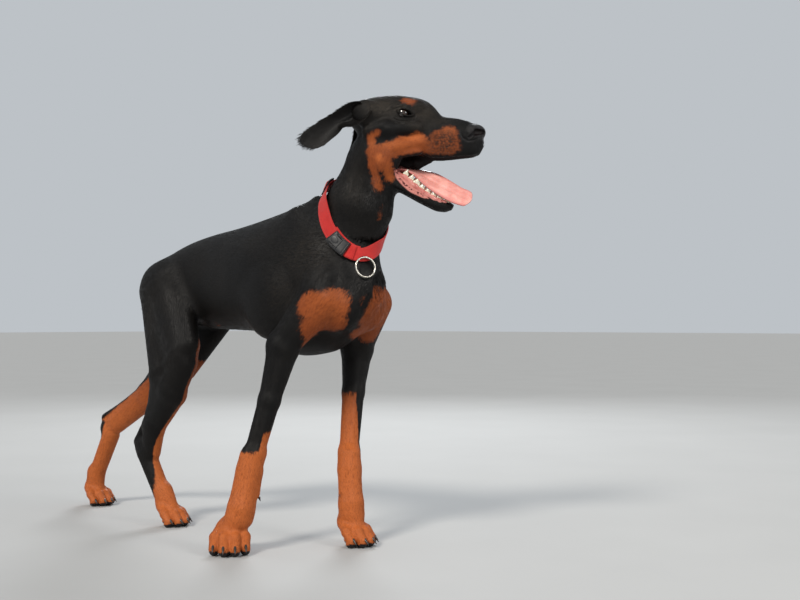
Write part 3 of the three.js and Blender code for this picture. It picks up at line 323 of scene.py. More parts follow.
def refine(verts, tris, where):
    """Split the edges of the triangles picked out by a mask, with no gaps at its border."""
    edges = np.sort(np.concatenate([tris[:, [0, 1]], tris[:, [1, 2]], tris[:, [2, 0]]]), axis=1)
    key = edges[:, 0] * len(verts) + edges[:, 1]
    uniq, inv = np.unique(key, return_inverse=True)
    marked = np.zeros(len(uniq), bool)
    marked[inv[np.tile(where, 3)]] = True
    number = np.where(marked, np.cumsum(marked) - 1 + len(verts), -1)
    ends = np.stack([uniq // len(verts), uniq % len(verts)], 1)[marked]
    new = np.concatenate([verts, (verts[ends[:, 0]] + verts[ends[:, 1]]) / 2])
    m = number[inv].reshape(3, -1).T
    split = m >= 0
    out = [tris[~split.any(1)]]
    for turn in range(3):
        r = [(turn + i) % 3 for i in range(3)]
        one = split[:, r[0]] & ~split[:, r[1]] & ~split[:, r[2]]
        t, e = tris[one][:, r], m[one][:, r]
        out += [np.stack([t[:, 0], e[:, 0], t[:, 2]], 1), np.stack([e[:, 0], t[:, 1], t[:, 2]], 1)]
        two = split[:, r[0]] & split[:, r[1]] & ~split[:, r[2]]
        t, e = tris[two][:, r], m[two][:, r]
        out += [np.stack([e[:, 0], t[:, 1], e[:, 1]], 1), np.stack([t[:, 0], e[:, 0], e[:, 1]], 1),
                np.stack([t[:, 0], e[:, 1], t[:, 2]], 1)]
    t, e = tris[split.all(1)], m[split.all(1)]
    out += [np.stack([t[:, 0], e[:, 0], e[:, 2]], 1), np.stack([e[:, 0], t[:, 1], e[:, 1]], 1),
            np.stack([e[:, 2], e[:, 1], t[:, 2]], 1), e]
    return new, np.concatenate(out)


# --- the animal's measures, in mm; a body's sections are in its frame, in the order that Loft gives
HEAD = Frame((365, 10, 780), 30)
JAW = Frame(HEAD.world([45, 0, -106]), 30, -27)
RIGHT = dict(
    shoulder=(318, -58, 455), elbow=(249, -90, 358), forearm=(237, -112, 268), wrist_top=(224, -134, 180),
    wrist=(219, -142, 142), pastern=(219, -165, 62), paw=(213, -184, 0), yaw=-44, paw_scale=1.08,
    hip=(-130, -46, 480), stifle=(-46, -74, 334), shin=(-84, -72, 272), shin_end=(-148, -66, 196),
    hock=(-180, -63, 153), point=(-201, -63, 164), hind_pastern=(-124, -58, 52), hind_paw=(-97, -56, 0))
LEFT = dict(
    shoulder=(332, 60, 450), elbow=(264, 93, 352), forearm=(274, 72, 276), wrist_top=(289, 44, 172),
    wrist=(299, 34, 136), pastern=(314, 23, 58), paw=(331, 20, 0), yaw=-6, paw_scale=1.0,
    hip=(-130, 46, 480), stifle=(-222, 40, 312), shin=(-290, 33, 250), shin_end=(-390, 22, 185),
    hock=(-412, 20, 172), point=(-425, 20, 196), hind_pastern=(-458, 16, 58), hind_paw=(-440, 15, 0))
for legs in (RIGHT, LEFT):
    for key, val in legs.items():
        if isinstance(val, tuple):
            legs[key] = np.array(val, float)

TORSO = [
    [-226, 490, 470, 20, 482, 2, 2], [-205, 510, 448, 42, 488, 2, 2], [-170, 536, 430, 54, 497, 2.1, 2],
    [-130, 557, 414, 59, 502, 2.2, 2], [-80, 574, 402, 60, 504, 2.2, 2], [-20, 586, 395, 62, 500, 2.2, 2],
    [40, 594, 393, 70, 494, 2.15, 2.1], [90, 602, 391, 78, 488, 2.1, 2.1], [140, 612, 371, 84, 485, 2, 2.1],
    [180, 621, 354, 85, 482, 1.95, 2.1], [220, 630, 345, 82, 478, 1.85, 2.1], [280, 630, 352, 73, 475, 1.9, 2.1],
    [330, 588, 376, 60, 474, 2, 2.1], [372, 540, 408, 44, 470, 2, 2.1], [400, 502, 440, 22, 470, 2, 2]]
MUZZLE = [
    [70, 8, -62, 30, -35, 2, 2.4], [96, 16, -74, 33, -42, 2, 2.6], [120, 9, -86, 33, -52, 2.2, 2.8],
    [140, -2, -87, 30.5, -55, 2.3, 2.8], [165, -6, -85, 27.5, -55, 2.3, 2.8], [188, -13, -81, 24, -54, 2.3, 2.6],
    [202, -20, -74, 19, -50, 2.2, 2.3], [210, -30, -62, 11, -46, 2, 2]]
JAW_ROWS = [
    [-6, 14, -20, 33, -8, 2, 2.2], [24, 12, -22, 31, -12, 2.3, 2.3], [45, 7, -23, 28, -13, 2.4, 2.3],
    [70, 2, -24, 24, -13, 2.4, 2.3], [95, 1, -24, 20, -12, 2.3, 2.3], [115, 4, -19, 15, -8, 2, 2.2],
    [126, 3, -10, 7, -2, 2, 2]]
ROOF = [
    [34, -88, -108, 12, -98, 2, 2], [60, -70, -122, 22, -96, 2, 2], [90, -64, -112, 23, -90, 2.2, 2.2],
    [130, -66, -112, 22, -92, 2.2, 2.2], [170, -68, -106, 19, -90, 2.2, 2.2], [196, -72, -96, 12, -86, 2, 2]]
FLOOR_OF_MOUTH = [
    [4, 22, -8, 15, 6, 2, 2], [30, 22, -10, 16, 6, 2, 2.2], [70, 22, -10, 13, 4, 2, 2.2],
    [100, 22, -7, 9, 4, 2, 2.2], [112, 20, -1, 5, 6, 2, 2]]
# the edge of the lower lip on the side of the jaw: pink above it, black below
LIP_LINE = table([
    [-8, 14], [2, 11], [8, 6], [14, -1], [23, -6], [36, -10.5], [51, -13.5], [70, -13], [84, -9],
    [92, -1], [99, 8], [130, 30]])
# a toe's place across the paw, and how far forward its tip is
TOES = [(-25, 12), (-9, 25), (9, 25), (25, 12)]
HIND_SCALE = 0.94
PAWS = ([Frame(j["paw"], j["yaw"], 0, j["paw_scale"]) for j in (RIGHT, LEFT)]
        + [Frame(j["hind_paw"], yaw, 0, HIND_SCALE) for j, yaw in ((RIGHT, 3), (LEFT, 0))])

body = Field()
body.add(None, [Loft(TORSO, 10)])
for s in (-1, 1):
    body.add(None, [
        Limb([222, s * 28, 604], [314, s * 60, 478], 24, 38, 22, 0.62),
        Ball([335, s * 32, 438], [48, 30, 48], 16),
        Ball([190, s * 64, 440], [60, 26, 62], 24),
        Ball([-150, s * 40, 488], [58, 34, 44], 24)])
body.add(None, [
    Limb([306, 4, 548], [347, 9, 622], 74, 66, 30, 0.76),
    Limb([347, 9, 622], [377, 15, 700], 66, 52, 12, 0.79),
    Limb([377, 15, 700], [391, 23, 750], 52, 44, 12, 0.86),
    Limb([225, 0, 607], [256, 0, 624], 16, 22, 20, 0.8)])
for j, k in ((RIGHT, 1), (LEFT, 2)):
    yaw = math.radians(j["yaw"])
    across = np.array([-math.sin(yaw), math.cos(yaw), 0]) * np.sign(-j["elbow"][1])
    forward = [math.cos(yaw), math.sin(yaw), 0]
    body.add(None, [
        Limb(j["shoulder"], j["elbow"] + [4, 0, 14], 43, 30 + k, 16, 0.8),
        Ball(j["elbow"] + [-16, 0, 10], [20, 16, 24], 12),
        Limb(j["elbow"], j["forearm"], 30 + k, 20.5 + k, 14, 0.88),
        Limb(j["forearm"], j["wrist_top"], 20.5 + k, 19.5, 8, 0.92),
        Limb(j["wrist_top"] - [0, 0, 6], j["wrist"], 21.5, 21.5, 8),
        Limb(j["wrist"], j["pastern"], 23, 24, 8, 0.82, forward),
        Limb(j["wrist"] + across * 14, (j["wrist"] + j["pastern"]) / 2 + across * 21, 8, 6, 6)])
body.add(None, [
    Limb(RIGHT["hip"], RIGHT["stifle"] + [-6, 2, 18], 58, 48, 24, 0.6),
    Limb([-185, -40, 472], [-114, -70, 312], 34, 36, 20, 0.66),
    Limb(RIGHT["stifle"], RIGHT["shin"], 34, 32, 14, 0.75),
    Limb(RIGHT["shin"], RIGHT["shin_end"], 37, 26, 12, 0.72),
    Limb([-118, -70, 290], [-148, -68, 226], 28, 15, 14, 0.8),
    Limb([-138, -69, 238], RIGHT["point"], 12, 10.5, 10),
    Limb(RIGHT["shin_end"], RIGHT["hock"] + [22, 0, -8], 26, 21, 8, 0.85),
    Limb(LEFT["hip"], LEFT["stifle"] + [6, 0, 8], 60, 45, 24, 0.6),
    Limb([-60, 40, 430], [-180, 38, 320], 40, 40, 20, 0.5),
    Limb([-188, 40, 462], [-250, 36, 324], 34, 30, 20, 0.62),
    Limb(LEFT["stifle"], LEFT["shin"], 40, 31, 14, 0.74),
    Limb(LEFT["shin"], LEFT["shin_end"], 30, 25, 10, 0.76),
    Limb([-318, 31, 246], LEFT["point"], 13, 10.5, 10)])
for j in (RIGHT, LEFT):
    body.add(None, [Ball(j["hock"], [27, 16.5, 25], 8),
                    Limb(j["hock"] + [6, 0, -14], j["hind_pastern"], 21, 19, 8, 0.9)])
for j, fr in zip((RIGHT, LEFT), PAWS):
    body.add(None, [Limb(j["pastern"] + [0, 0, 14], fr.world([-8, 0, 34]), 22, 20, 14, 0.92),
                    Limb(j["wrist"] + [0, 0, 26], j["pastern"] + [0, 0, 20], 21, 21.5, 10, 0.86)])
for j, fr in zip((RIGHT, LEFT), PAWS[2:]):
    body.add(None, [Limb(j["hind_pastern"] + [0, 0, 16], fr.world([-8, 0, 34]), 18, 17.5, 12, 0.92)])
for fr in PAWS:
    toes = []
    for y, front in TOES:
        toes += [Limb([-24, y * 0.55, 40], [front - 14, y * 0.95, 27], 11.5, 10.5, 7, 0.95),
                 Limb([front - 14, y * 0.95, 27], [front + 1, y, 13], 10.5, 9.5, 4),
                 Ball([front - 2, y, 7.4], [11, 9, 9], 4)]
    toes += [Ball([-9, 0, 10], [18, 20, 11.8], 6), Limb([-30, 0, 44], [-10, 0, 28], 18.5, 19, 10, 0.95)]
    body.add(fr, toes)
body.add(None, [Limb([-208, 0, 492], [-252, 0, 462], 17, 11, 10)])

body.add(HEAD, [Ball([28, 0, -2], [62, 45, 40], 10), Ball([60, 0, -4], [52, 39, 42], 10),
                Ball([88, 0, -6], [42, 30, 38], 10), Loft(MUZZLE, 12), Ball([197, 0, -33], [19, 18, 16], 6),
                Ball([34, 0, -110], [27, 29, 33], 14)])
for s in (-1, 1):
    body.add(HEAD, [
        Ball([90, s * 22, 14], [20, 13, 13], 10), Ball([74, s * 31, 2], [15, 9, 12], 8),
        Limb([96, s * 32, -26], [42, s * 40, -28], 12, 14, 10),
        Limb([42, s * 40, -28], [8, s * 38, -30], 14, 12, 10),
        Ball([34, s * 32, -64], [36, 17, 44], 14), Ball([4, s * 38, 3], [26, 15, 24], 10),
        Limb([98, s * 29, -69], [60, s * 33, -74], 7, 7, 6),
        Limb([60, s * 33, -74], [47, s * 32, -92], 7, 7, 6),
        Limb([58, s * 33, -58], [102, s * 24, -52], 13, 12, 10)])
# the far upper lip
body.add(HEAD, [Limb([50, 27, -90], [84, 26, -89], 10, 8, 8, 0.7),
                Limb([84, 26, -89], [112, 26, -80], 8, 3, 8, 0.7)])
body.add(JAW, [Loft(JAW_ROWS, 10)])
outer = Field(body.items)

# the eyes: the opening, its lids and the ball behind them
EYE_LONG, EYE_OPEN, EYE_R = 23.5, 8.0, 11.5
LID_POINTS = 18
EYE_SINK = 0.6


def eye_axes(s):
    """The middle of one eye's opening, then the ways along it, up and out."""
    out = HEAD.turn(unit([0.62, s * 0.78, 0.06]))
    along = HEAD.turn(unit([0.78, s * -0.62, -0.3]))
    along = unit(along - out * (along @ out))
    return HEAD.world([71.5, s * 31, 0.2]), along, np.cross(out, along), out


def on_face(p, out):
    """Slide points along a direction until they lie on the surface."""
    p = np.array(p, float)
    for _ in range(60):
        f = outer(p)
        p = p - out * np.where(f > 0, np.clip(f, 0.3, 4), 0)[:, None]
    return p


def lid_line(s):
    c, along, up, out = eye_axes(s)
    a = np.arange(LID_POINTS) / LID_POINTS * 2 * math.pi
    x = (EYE_LONG / 2 + 1.4) * np.cos(a)
    y = (EYE_OPEN / 2 + 1.6) * np.sin(a) * (1 - 0.35 * np.cos(a)**2)
    return on_face(c + x[:, None] * along + y[:, None] * up + out * 22, out) - out * 0.8


def eyeball_centre(s):
    return lid_line(s).mean(0) - eye_axes(s)[3] * (EYE_R + EYE_SINK)


def chain(points, radii, k, closed=False, cut=False):
    """Short limbs through points, with a radius at each."""
    n = len(points)
    r = np.ones(n) * radii
    return [Limb(points[i], points[(i + 1) % n], r[i], r[(i + 1) % n], k, cut=cut)
            for i in range(n if closed else n - 1)]


def on_side(s, rows):
    """Points on the side of the head from their place along it and their height."""
    out = HEAD.turn([0, s, 0])
    return on_face(HEAD.world([[a, s * 62, z] for a, z in rows]), out) - out * 1.2


# a fold over the eye and one below it: points on the head's side, radii and softness
FOLDS = [([(46, 6), (56, 11), (67, 13), (79, 11), (88, 5)], [1.6, 2.4, 2.8, 2.4, 1.4], 4),
         ([(54, -10), (64, -16), (77, -18), (91, -14), (101, -5)], [1.4, 2.2, 2.6, 2.2, 1.4], 5)]
EYE_AT = {s: eyeball_centre(s) for s in (-1, 1)}
for s in (-1, 1):
    up = np.linspace(0, 2 * math.pi, LID_POINTS, endpoint=False)
    body.add(None, chain(lid_line(s), 2.3 + 0.8 * np.clip(np.sin(up), 0, 1), 2.2, True))
    for points, radii, soft in FOLDS:
        body.add(None, chain(on_side(s, points), radii, soft))
    body.add(HEAD, [Ball([194, s * 14, -33], [13, 8.5, 12.5], 4)])


def ribbon(n, m, at):
    """A closed leaf from a function of place along, place across and side."""
    rows = []
    t = np.linspace(-1, 1, m + 1)
    for i in range(n + 1):
        u = np.full(m + 1, i / n)
        rows.append(np.concatenate([at(u, t, 1), at(u, t, -1)[::-1]]))
    w = 2 * (m + 1)
    j = np.arange(m)
    end = np.stack([j + 1, w - 2 - j, w - 1 - j, j], 1)
    ends = np.stack([end[:, ::-1], end + n * w], 1).reshape(-1, 4)
    return np.concatenate(rows), np.concatenate([grid_quads(n + 1, w, flip=True), ends])


# ears: leaves blown back from the side of the skull, cupped at the root
EAR_FORM = table([
    [0, 6, 13], [0.07, 6, 18], [0.16, 6, 21.5], [0.31, 6.5, 20.5], [0.42, 9.5, 16.5], [0.5, 7.5, 18.5],
    [0.62, 5.5, 20], [0.75, 3, 20.5], [0.87, 2.5, 18.5], [0.96, 4.5, 12.5], [1, 5, 4]])
EAR_SLOPE, EAR_SPREAD = {-1: 30, 1: 74}, {-1: 33, 1: 26}
EAR_ROWS, EAR_ACROSS = 64, 22
EAR_RING = 2 * (EAR_ACROSS + 1)
EAR_VERTS = 2 * (EAR_ROWS + 1) * EAR_RING
EAR_TRIS = 4 * (EAR_ROWS * EAR_RING + 2 * EAR_ACROSS)


def ear_point(s, u, t, lift=0.0):
    """A place on the ear's middle sheet, or lifted off it: along it from 0 to 1, across it from -1 to 1."""
    c, d = math.cos(math.radians(EAR_SLOPE[s])), math.sin(math.radians(EAR_SLOPE[s]))
    middle, wide = EAR_FORM(u)
    gape = (1 - u)**1.5
    along = -8 + 126 * u - np.where(t > 0, 10 * t * gape, 0)
    up = middle - t * wide
    out = 41 + EAR_SPREAD[s] * u - 5 * np.sin(u * math.pi) - s * (22 * gape + 3) * (t * t - 0.4) + lift
    return HEAD.world(np.stack([-c * along - d * up, s * out, -d * along + c * up], -1))


def ear_leaf(s):
    """The leaf of one ear, with the folds of its cup."""
    def at(u, t, side):
        thick = np.where(u < 0.15, 2.4 + (0.15 - u) * 26, 2.4) * np.sqrt(np.clip(1.02 - t**4, 0, 1))
        thick = thick * np.sqrt(np.clip(1.01 - u**16, 0, 1))
        fold = 2.4 * np.exp(-((t + 0.25 - 0.5 * u) / 0.13)**2) * np.clip(1 - (u / 0.5)**2, 0, 1)
        fold = fold + 1.8 * np.exp(-((t - 0.55 + 0.4 * u) / 0.12)**2) * np.clip(1 - (u / 0.4)**2, 0, 1)
        fold = fold * (0.4 if side == s else 1)
        return ear_point(s, u, t * 0.985, side * thick / 2 + fold)
    return ribbon(EAR_ROWS, EAR_ACROSS, at)


# the hollow of the mouth, the eye sockets and the nostrils
body.add(HEAD, [Loft(ROOF, 5, True),
                Limb([50, 25, -84], [84, 26, -80], 10, 9, 6, 0.7), Limb([84, 26, -80], [116, 26, -74], 9, 3, 6, 0.7)])
body.add(JAW, [Loft(FLOOR_OF_MOUTH, 4, True)])
for s in (-1, 1):
    # the edge of the lower lip, and the groove between it and the gum
    row = []
    out = JAW.turn([0, s, 0])
    for x in np.arange(10, 84, 6.0):
        z = LIP_LINE(x)[0]
        row.append((x, (on_face(JAW.world([[x, s * 44, z]]), out)[0] - JAW.o) @ out, z))
    edge = np.array(row) * [1, s, 1]
    body.add(JAW, chain(edge - [0, s * 2.2, 0], 2.7, 2))
    body.add(JAW, chain(edge + [0, s * 0.4, 5.2], 1.7, 1.5, cut=True))
NOSE_WING = [(172, -27), (172, -37), (177, -46), (186, -51), (196, -50), (203, -46)]
for s in (-1, 1):
    c, along, up, out = eye_axes(s)
    mid = lid_line(s).mean(0)
    body.add(None, [Limb(mid - along * 7.6, mid + along * 7.6, 3.7, 3.7, 1.0, 0.95, up, True),
                    Ball(EYE_AT[s], 11.0, 1.0, True)])
    body.add(HEAD, [Limb([210, s * 7, -33.5], [200, s * 16.5, -34.5], 3.2, 4.9, 2, 1, (0, 0, 1), True),
                    Limb([199, s * 18.5, -37], [188, s * 22, -45], 3.0, 1.2, 2, 1, (0, 0, 1), True)])
    wing = on_side(s, NOSE_WING) + HEAD.turn([0, s * 1.4, 0])
    body.add(None, chain(wing, [0.8, 1.3, 1.6, 1.6, 1.4, 0.9], 1.5, cut=True))


# --- markings, told by place on the body
def capsules(p, rows):
    """Least distance to capsules in the plane or in space: rows of both ends and a radius."""
    n = p.shape[1]
    best = np.full(len(p), 1e3)
    for row in rows:
        a, b, r = np.array(row[:n], float), np.array(row[n:2 * n], float), row[2 * n]
        ab = b - a
        t = np.clip((p - a) @ ab / max(ab @ ab, 1e-9), 0, 1)
        best = np.minimum(best, np.linalg.norm(p - a - t[:, None] * ab, axis=1) - r)
    return best


# capsules: two ends and a radius, in profile on the head, in space for the brow and chest
FACE_TAN = [
    (17, -58, 17, -43, 7), (17, -41, 28, -36, 5.5), (19, -68, 45, -67, 12), (45, -66, 70, -61, 14),
    (70, -59, 98, -53, 17.5), (98, -54, 118, -62, 11), (148, -36, 158, -37, 12), (134, -45, 160, -50, 13),
    (120, -62, 156, -63, 12), (160, -44, 164, -60, 9), (19, -72, 20, -98, 8), (22, -100, 28, -130, 7.5),
    (45, -78, 47, -112, 9), (30, -78, 38, -94, 9)]
BROW_TAN = [(76, 27, 25, 85, 31, 22, 8.0)]
CHEST_TAN = [
    (318, -86, 440, 356, -60, 446, 25), (314, -76, 402, 346, -56, 414, 24), (296, -66, 380, 318, -70, 386, 17),
    (390, 0, 450, 352, 62, 448, 26), (380, 4, 424, 344, 60, 420, 26), (356, 8, 392, 322, 62, 392, 22)]
THROAT_TAN = [(400, 2, 640, 408, -4, 600, 9)]
VENT_TAN = [(-226, 0, 448, -232, 0, 470, 15)]
# the near hind leg: heights, and x of the black's front edge on the outer and the inner side
HIND_HEIGHTS = [0, 50, 109, 149, 170, 223, 260, 330, 372, 420]
HIND_OUTER = [-152, -138, -131, -139, -126, -76, -42, -2, 6, 30]
HIND_INNER = [-190, -180, -170, -190, -180, -130, -100, -50, -26, 20]
NO_TAN = -30


def tan_distance(p):
    """Millimetres inside the tan markings, negative in the black."""
    h = HEAD.local(p)
    a, side, z = h[:, 0], np.abs(h[:, 1]), h[:, 2]
    face = -capsules(np.stack([a, z], 1), FACE_TAN)
    face = np.minimum(face, side - 9 - np.clip((z + 40) * 0.3, 0, 14))
    brow = -capsules(np.stack([a, side, z], 1), BROW_TAN)
    best = np.where((a > -10) & (p[:, 2] > 610), np.maximum(face, brow), NO_TAN)
    best = np.maximum(best, -capsules(p, THROAT_TAN) - 6)
    x, y, height = p.T
    chest = np.minimum(-capsules(p, CHEST_TAN), np.abs(y + 24 - 0.12 * (height - 440)) - 6)
    best = np.maximum(best, np.where(x > 270, chest, NO_TAN))
    # forelegs: tan below a line that climbs on the near leg's front corner and on the far leg's inner side
    fore = (x > 120) & (height < 330)
    front = np.clip(((x - 224) * 0.72 + (y + 138) * -0.69 + 4) / 16, -1, 1)
    corner = np.clip(((x - 224) * 0.69 + (y + 138) * 0.72 - 10) / 8, 0, 1)
    best = np.where(fore & (y < -40), np.maximum(best, 182 + 34 * corner - 4 * front - height), best)
    inner = np.clip((52 - y + (height - 200) * 0.28) / 14, -1, 1)
    best = np.where(fore & (y > -20), np.maximum(best, 204 + 72 * inner - height), best)
    # hind legs: tan before the black of the thigh and hock, with the inner side's edge further back
    outer_edge, inner_edge = (x - np.interp(height, HIND_HEIGHTS, edge) for edge in (HIND_OUTER, HIND_INNER))
    w = np.clip(0.5 + (y + 66) / 16, 0, 1)
    near = outer_edge * (1 - w) + inner_edge * w
    best = np.where((x < 8) & (y < -20) & (height < 420), np.maximum(best, near), best)
    shin = unit([130.0, 208.0])
    inner_edge = (188 + (x + 430) * shin[0] / shin[1] - height) * shin[1]
    inner_edge = np.where(height < 190, np.minimum(inner_edge, x + 419 - (height - 150) * 0.25), inner_edge)
    inner_edge = np.where(height < 150, 20 + 0 * x, inner_edge)
    inner_edge = np.where(height > 330, np.minimum(inner_edge, 345 - height), inner_edge)
    outer_edge = np.where(height < 160, x + 478, inner_edge - 34)
    w = np.clip(0.5 + (y - 26) / 14, 0, 1)
    far = inner_edge * (1 - w) + outer_edge * w
    best = np.where((x < -90) & (y > -20) & (height < 400), np.maximum(best, far), best)
    return np.clip(np.maximum(best, -capsules(p, VENT_TAN)), NO_TAN, -NO_TAN)


# lines that the coat lies along: both ends, how far round them they reach and their weight
BONES = [
    (HEAD.world([216, 0, -40]), HEAD.world([20, 0, 6]), 40, 1),
    (HEAD.world([20, 0, 0]), (306, 4, 600), 55, 1),
    ((306, 0, 560), (-210, 0, 520), 80, 1), ((-208, 0, 492), (-256, 0, 460), 15, 1),
    (JAW.world([126, 0, -5]), JAW.world([0, 0, -10]), 22, 1),
    ((392, 10, 640), (380, 0, 440), 50, 1), ((370, 0, 420), (60, 0, 400), 50, 1)]
for j in (RIGHT, LEFT):
    for a, b in (("shoulder", "elbow"), ("elbow", "wrist"), ("wrist", "pastern"), ("hip", "stifle"),
                 ("stifle", "shin_end"), ("shin_end", "hock"), ("hock", "hind_pastern")):
        BONES.append((j[a], j[b], 28 if a not in ("hip", "shoulder") else 45, 1.4))
for fr in PAWS:
    BONES.append((fr.world([-26, 0, 46]), fr.world([30, 0, 8]), 26, 2))
for s in (-1, 1):
    BONES.append((*(ear_point(s, np.array(u), np.array(0.0)) for u in (0.0, 1.0)), 12, 5))


def lie(p, normal):
    """The way the coat lies: along the nearest bones, on the surface."""
    total = np.zeros_like(p)
    for a, b, r, w in BONES:
        a, b = np.array(a, float), np.array(b, float)
        ab = b - a
        t = np.clip((p - a) @ ab / (ab @ ab), 0, 1)
        far = np.maximum(np.linalg.norm(p - a - t[:, None] * ab, axis=1) - r, 0)
        total += (w * np.exp(-far / 14))[:, None] * unit(ab)
    total += np.array([-1e-4, 0, -2e-4])
    total -= normal * (total * normal).sum(1, keepdims=True)
    return unit(total)


# --- mesh and material helpers
def to_scene(p):
    return (np.asarray(p, float) + SHIFT) * MM


def put(name, verts, faces, mat, smooth=True, attrs=None):
    """A piece on the root body from vertices in mm, faces of one size or a list of sizes, and attributes."""
    verts = to_scene(verts)
    me = bpy.data.meshes.new(name)
    faces = faces if isinstance(faces, list) else [faces]
    loops = np.concatenate([f.ravel() for f in faces])
    sizes = np.concatenate([np.full(len(f), f.shape[1]) for f in faces])
    me.vertices.add(len(verts))
    me.vertices.foreach_set("co", verts.astype(np.float32).ravel())
    me.loops.add(len(loops))
    me.loops.foreach_set("vertex_index", loops.astype(np.int32))
    me.polygons.add(len(sizes))
    me.polygons.foreach_set("loop_start", (np.cumsum(sizes) - sizes).astype(np.int32))
    me.polygons.foreach_set("use_smooth", np.full(len(sizes), smooth))
    me.update(calc_edges=True)
    for key, val in (attrs or {}).items():
        val = np.asarray(val, np.float32)
        kind, word = ("FLOAT", "value") if val.ndim == 1 else ("FLOAT_VECTOR", "vector")
        me.attributes.new(key, kind, "POINT").data.foreach_set(word, val.ravel())
    me.materials.append(mat)
    ob = bpy.data.objects.new(name, me)
    bpy.context.collection.objects.link(ob)
    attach(ob, "root")
    return ob


def revolve(rings, n=10):
    """A closed form from rings, each a centre and two axes as long as its radii: vertices, quads, triangles."""
    a = np.arange(n) / n * 2 * math.pi
    m = len(rings)
    loops = [c + np.cos(a)[:, None] * x + np.sin(a)[:, None] * y for c, x, y in rings]
    rims = np.arange(n)[::-1], (m - 1) * n + np.arange(n)
    caps = [np.stack([rim, np.roll(rim, -1), np.full(n, m * n + i)], 1) for i, rim in enumerate(rims)]
    verts = np.concatenate(loops + [loops[0].mean(0)[None], loops[-1].mean(0)[None]])
    return verts, grid_quads(m, n), np.concatenate(caps)


def put_heap(name, forms, mat):
    """Many small closed forms as one piece."""
    base = np.cumsum([0] + [len(v) for v, _, _ in forms])
    quads = np.concatenate([q + b for (_, q, _), b in zip(forms, base)])
    tris = np.concatenate([t + b for (_, _, t), b in zip(forms, base)])
    put(name, np.concatenate([v for v, _, _ in forms]), [quads, tris], mat)


class Shader:
    """A thin hand on a node tree."""
    def __init__(self, name, **sockets):
        self.mat = bpy.data.materials.new(name)
        self.mat.use_nodes = True
        self.tree = self.mat.node_tree
        self.bsdf = self.tree.nodes["Principled BSDF"]
        for key, val in sockets.items():
            self.bsdf.inputs[key.replace("_", " ")].default_value = val

    def feed(self, slot, val):
        """Link an output to an input, or set the input's value."""
        if isinstance(val, bpy.types.NodeSocket):
            self.tree.links.new(val, slot)
        else:
            slot.default_value = (*val, 1.0) if isinstance(val, tuple) else val

    def node(self, kind, _out=0, **inputs):
        """A node's output; an input is named, or numbered as i0, i1 and so on."""
        n = self.tree.nodes.new("ShaderNode" + kind)
        for key, val in inputs.items():
            if key in ("attribute_name", "feature"):
                setattr(n, key, val)
            else:
                self.feed(n.inputs[int(key[1:]) if key[1:].isdigit() else key.replace("_", " ")], val)
        return n.outputs[_out]

    def attr(self, name, vector=False):
        return self.node("Attribute", 1 if vector else 2, attribute_name=name)

    def math(self, op, *values):
        n = self.tree.nodes.new("ShaderNodeMath")
        n.operation = op
        for slot, val in zip(n.inputs, values):
            self.feed(slot, val)
        return n.outputs[0]

    def times(self, a, b):
        return self.math("MULTIPLY", a, b)

    def step(self, val, lo, hi):
        """0 below lo, 1 above hi, smooth between."""
        n = self.tree.nodes.new("ShaderNodeMapRange")
        n.interpolation_type = "SMOOTHSTEP"
        for key, given in (("Value", val), ("From Min", lo), ("From Max", hi)):
            self.feed(n.inputs[key], given)
        return n.outputs["Result"]

    def between(self, val, lo, hi):
        """A value from 0 to 1 stretched to lo and hi."""
        return self.node("MapRange", 0, Value=val, To_Min=lo, To_Max=hi)

    def mix(self, fac, a, b):
        n = self.tree.nodes.new("ShaderNodeMix")
        n.data_type = "RGBA"
        for slot, val in zip((n.inputs[0], n.inputs[6], n.inputs[7]), (fac, a, b)):
            self.feed(slot, val)
        return n.outputs[2]

    def coords(self):
        return self.node("TexCoord", 3)

    def noise(self, vec, scale, detail=2.0):
        return self.node("TexNoise", 0, Vector=vec, Scale=scale, Detail=detail)

    def bump(self, height, strength, distance, **under):
        return self.node("Bump", 0, Height=height, Strength=strength, Distance=distance, **under)

    def link(self, key, socket):
        self.tree.links.new(socket, self.bsdf.inputs[key])


def mottled(name, grain, tones, soft=None, spots=None, relief=None, sheen=None, **sockets):
    """Two colours in soft noise, with spots, a fine relief and a shine that varies where they are given."""
    m = Shader(name, **sockets)
    pos = m.coords()
    blend = m.noise(pos, *grain)
    colour = m.mix(m.step(blend, *soft) if soft else blend, *tones)
    if spots:
        scale, lo, hi, tone = spots
        colour = m.mix(m.step(m.noise(pos, scale, 1.0), lo, hi), colour, tone)
    m.link("Base Color", colour)
    if relief:
        scale, strength, depth = relief
        m.link("Normal", m.bump(m.noise(pos, scale), strength, depth))
    if sheen:
        scale, lo, hi = sheen
        m.link("Roughness", m.between(m.noise(pos, scale, 3.0), lo, hi))
    return m.mat


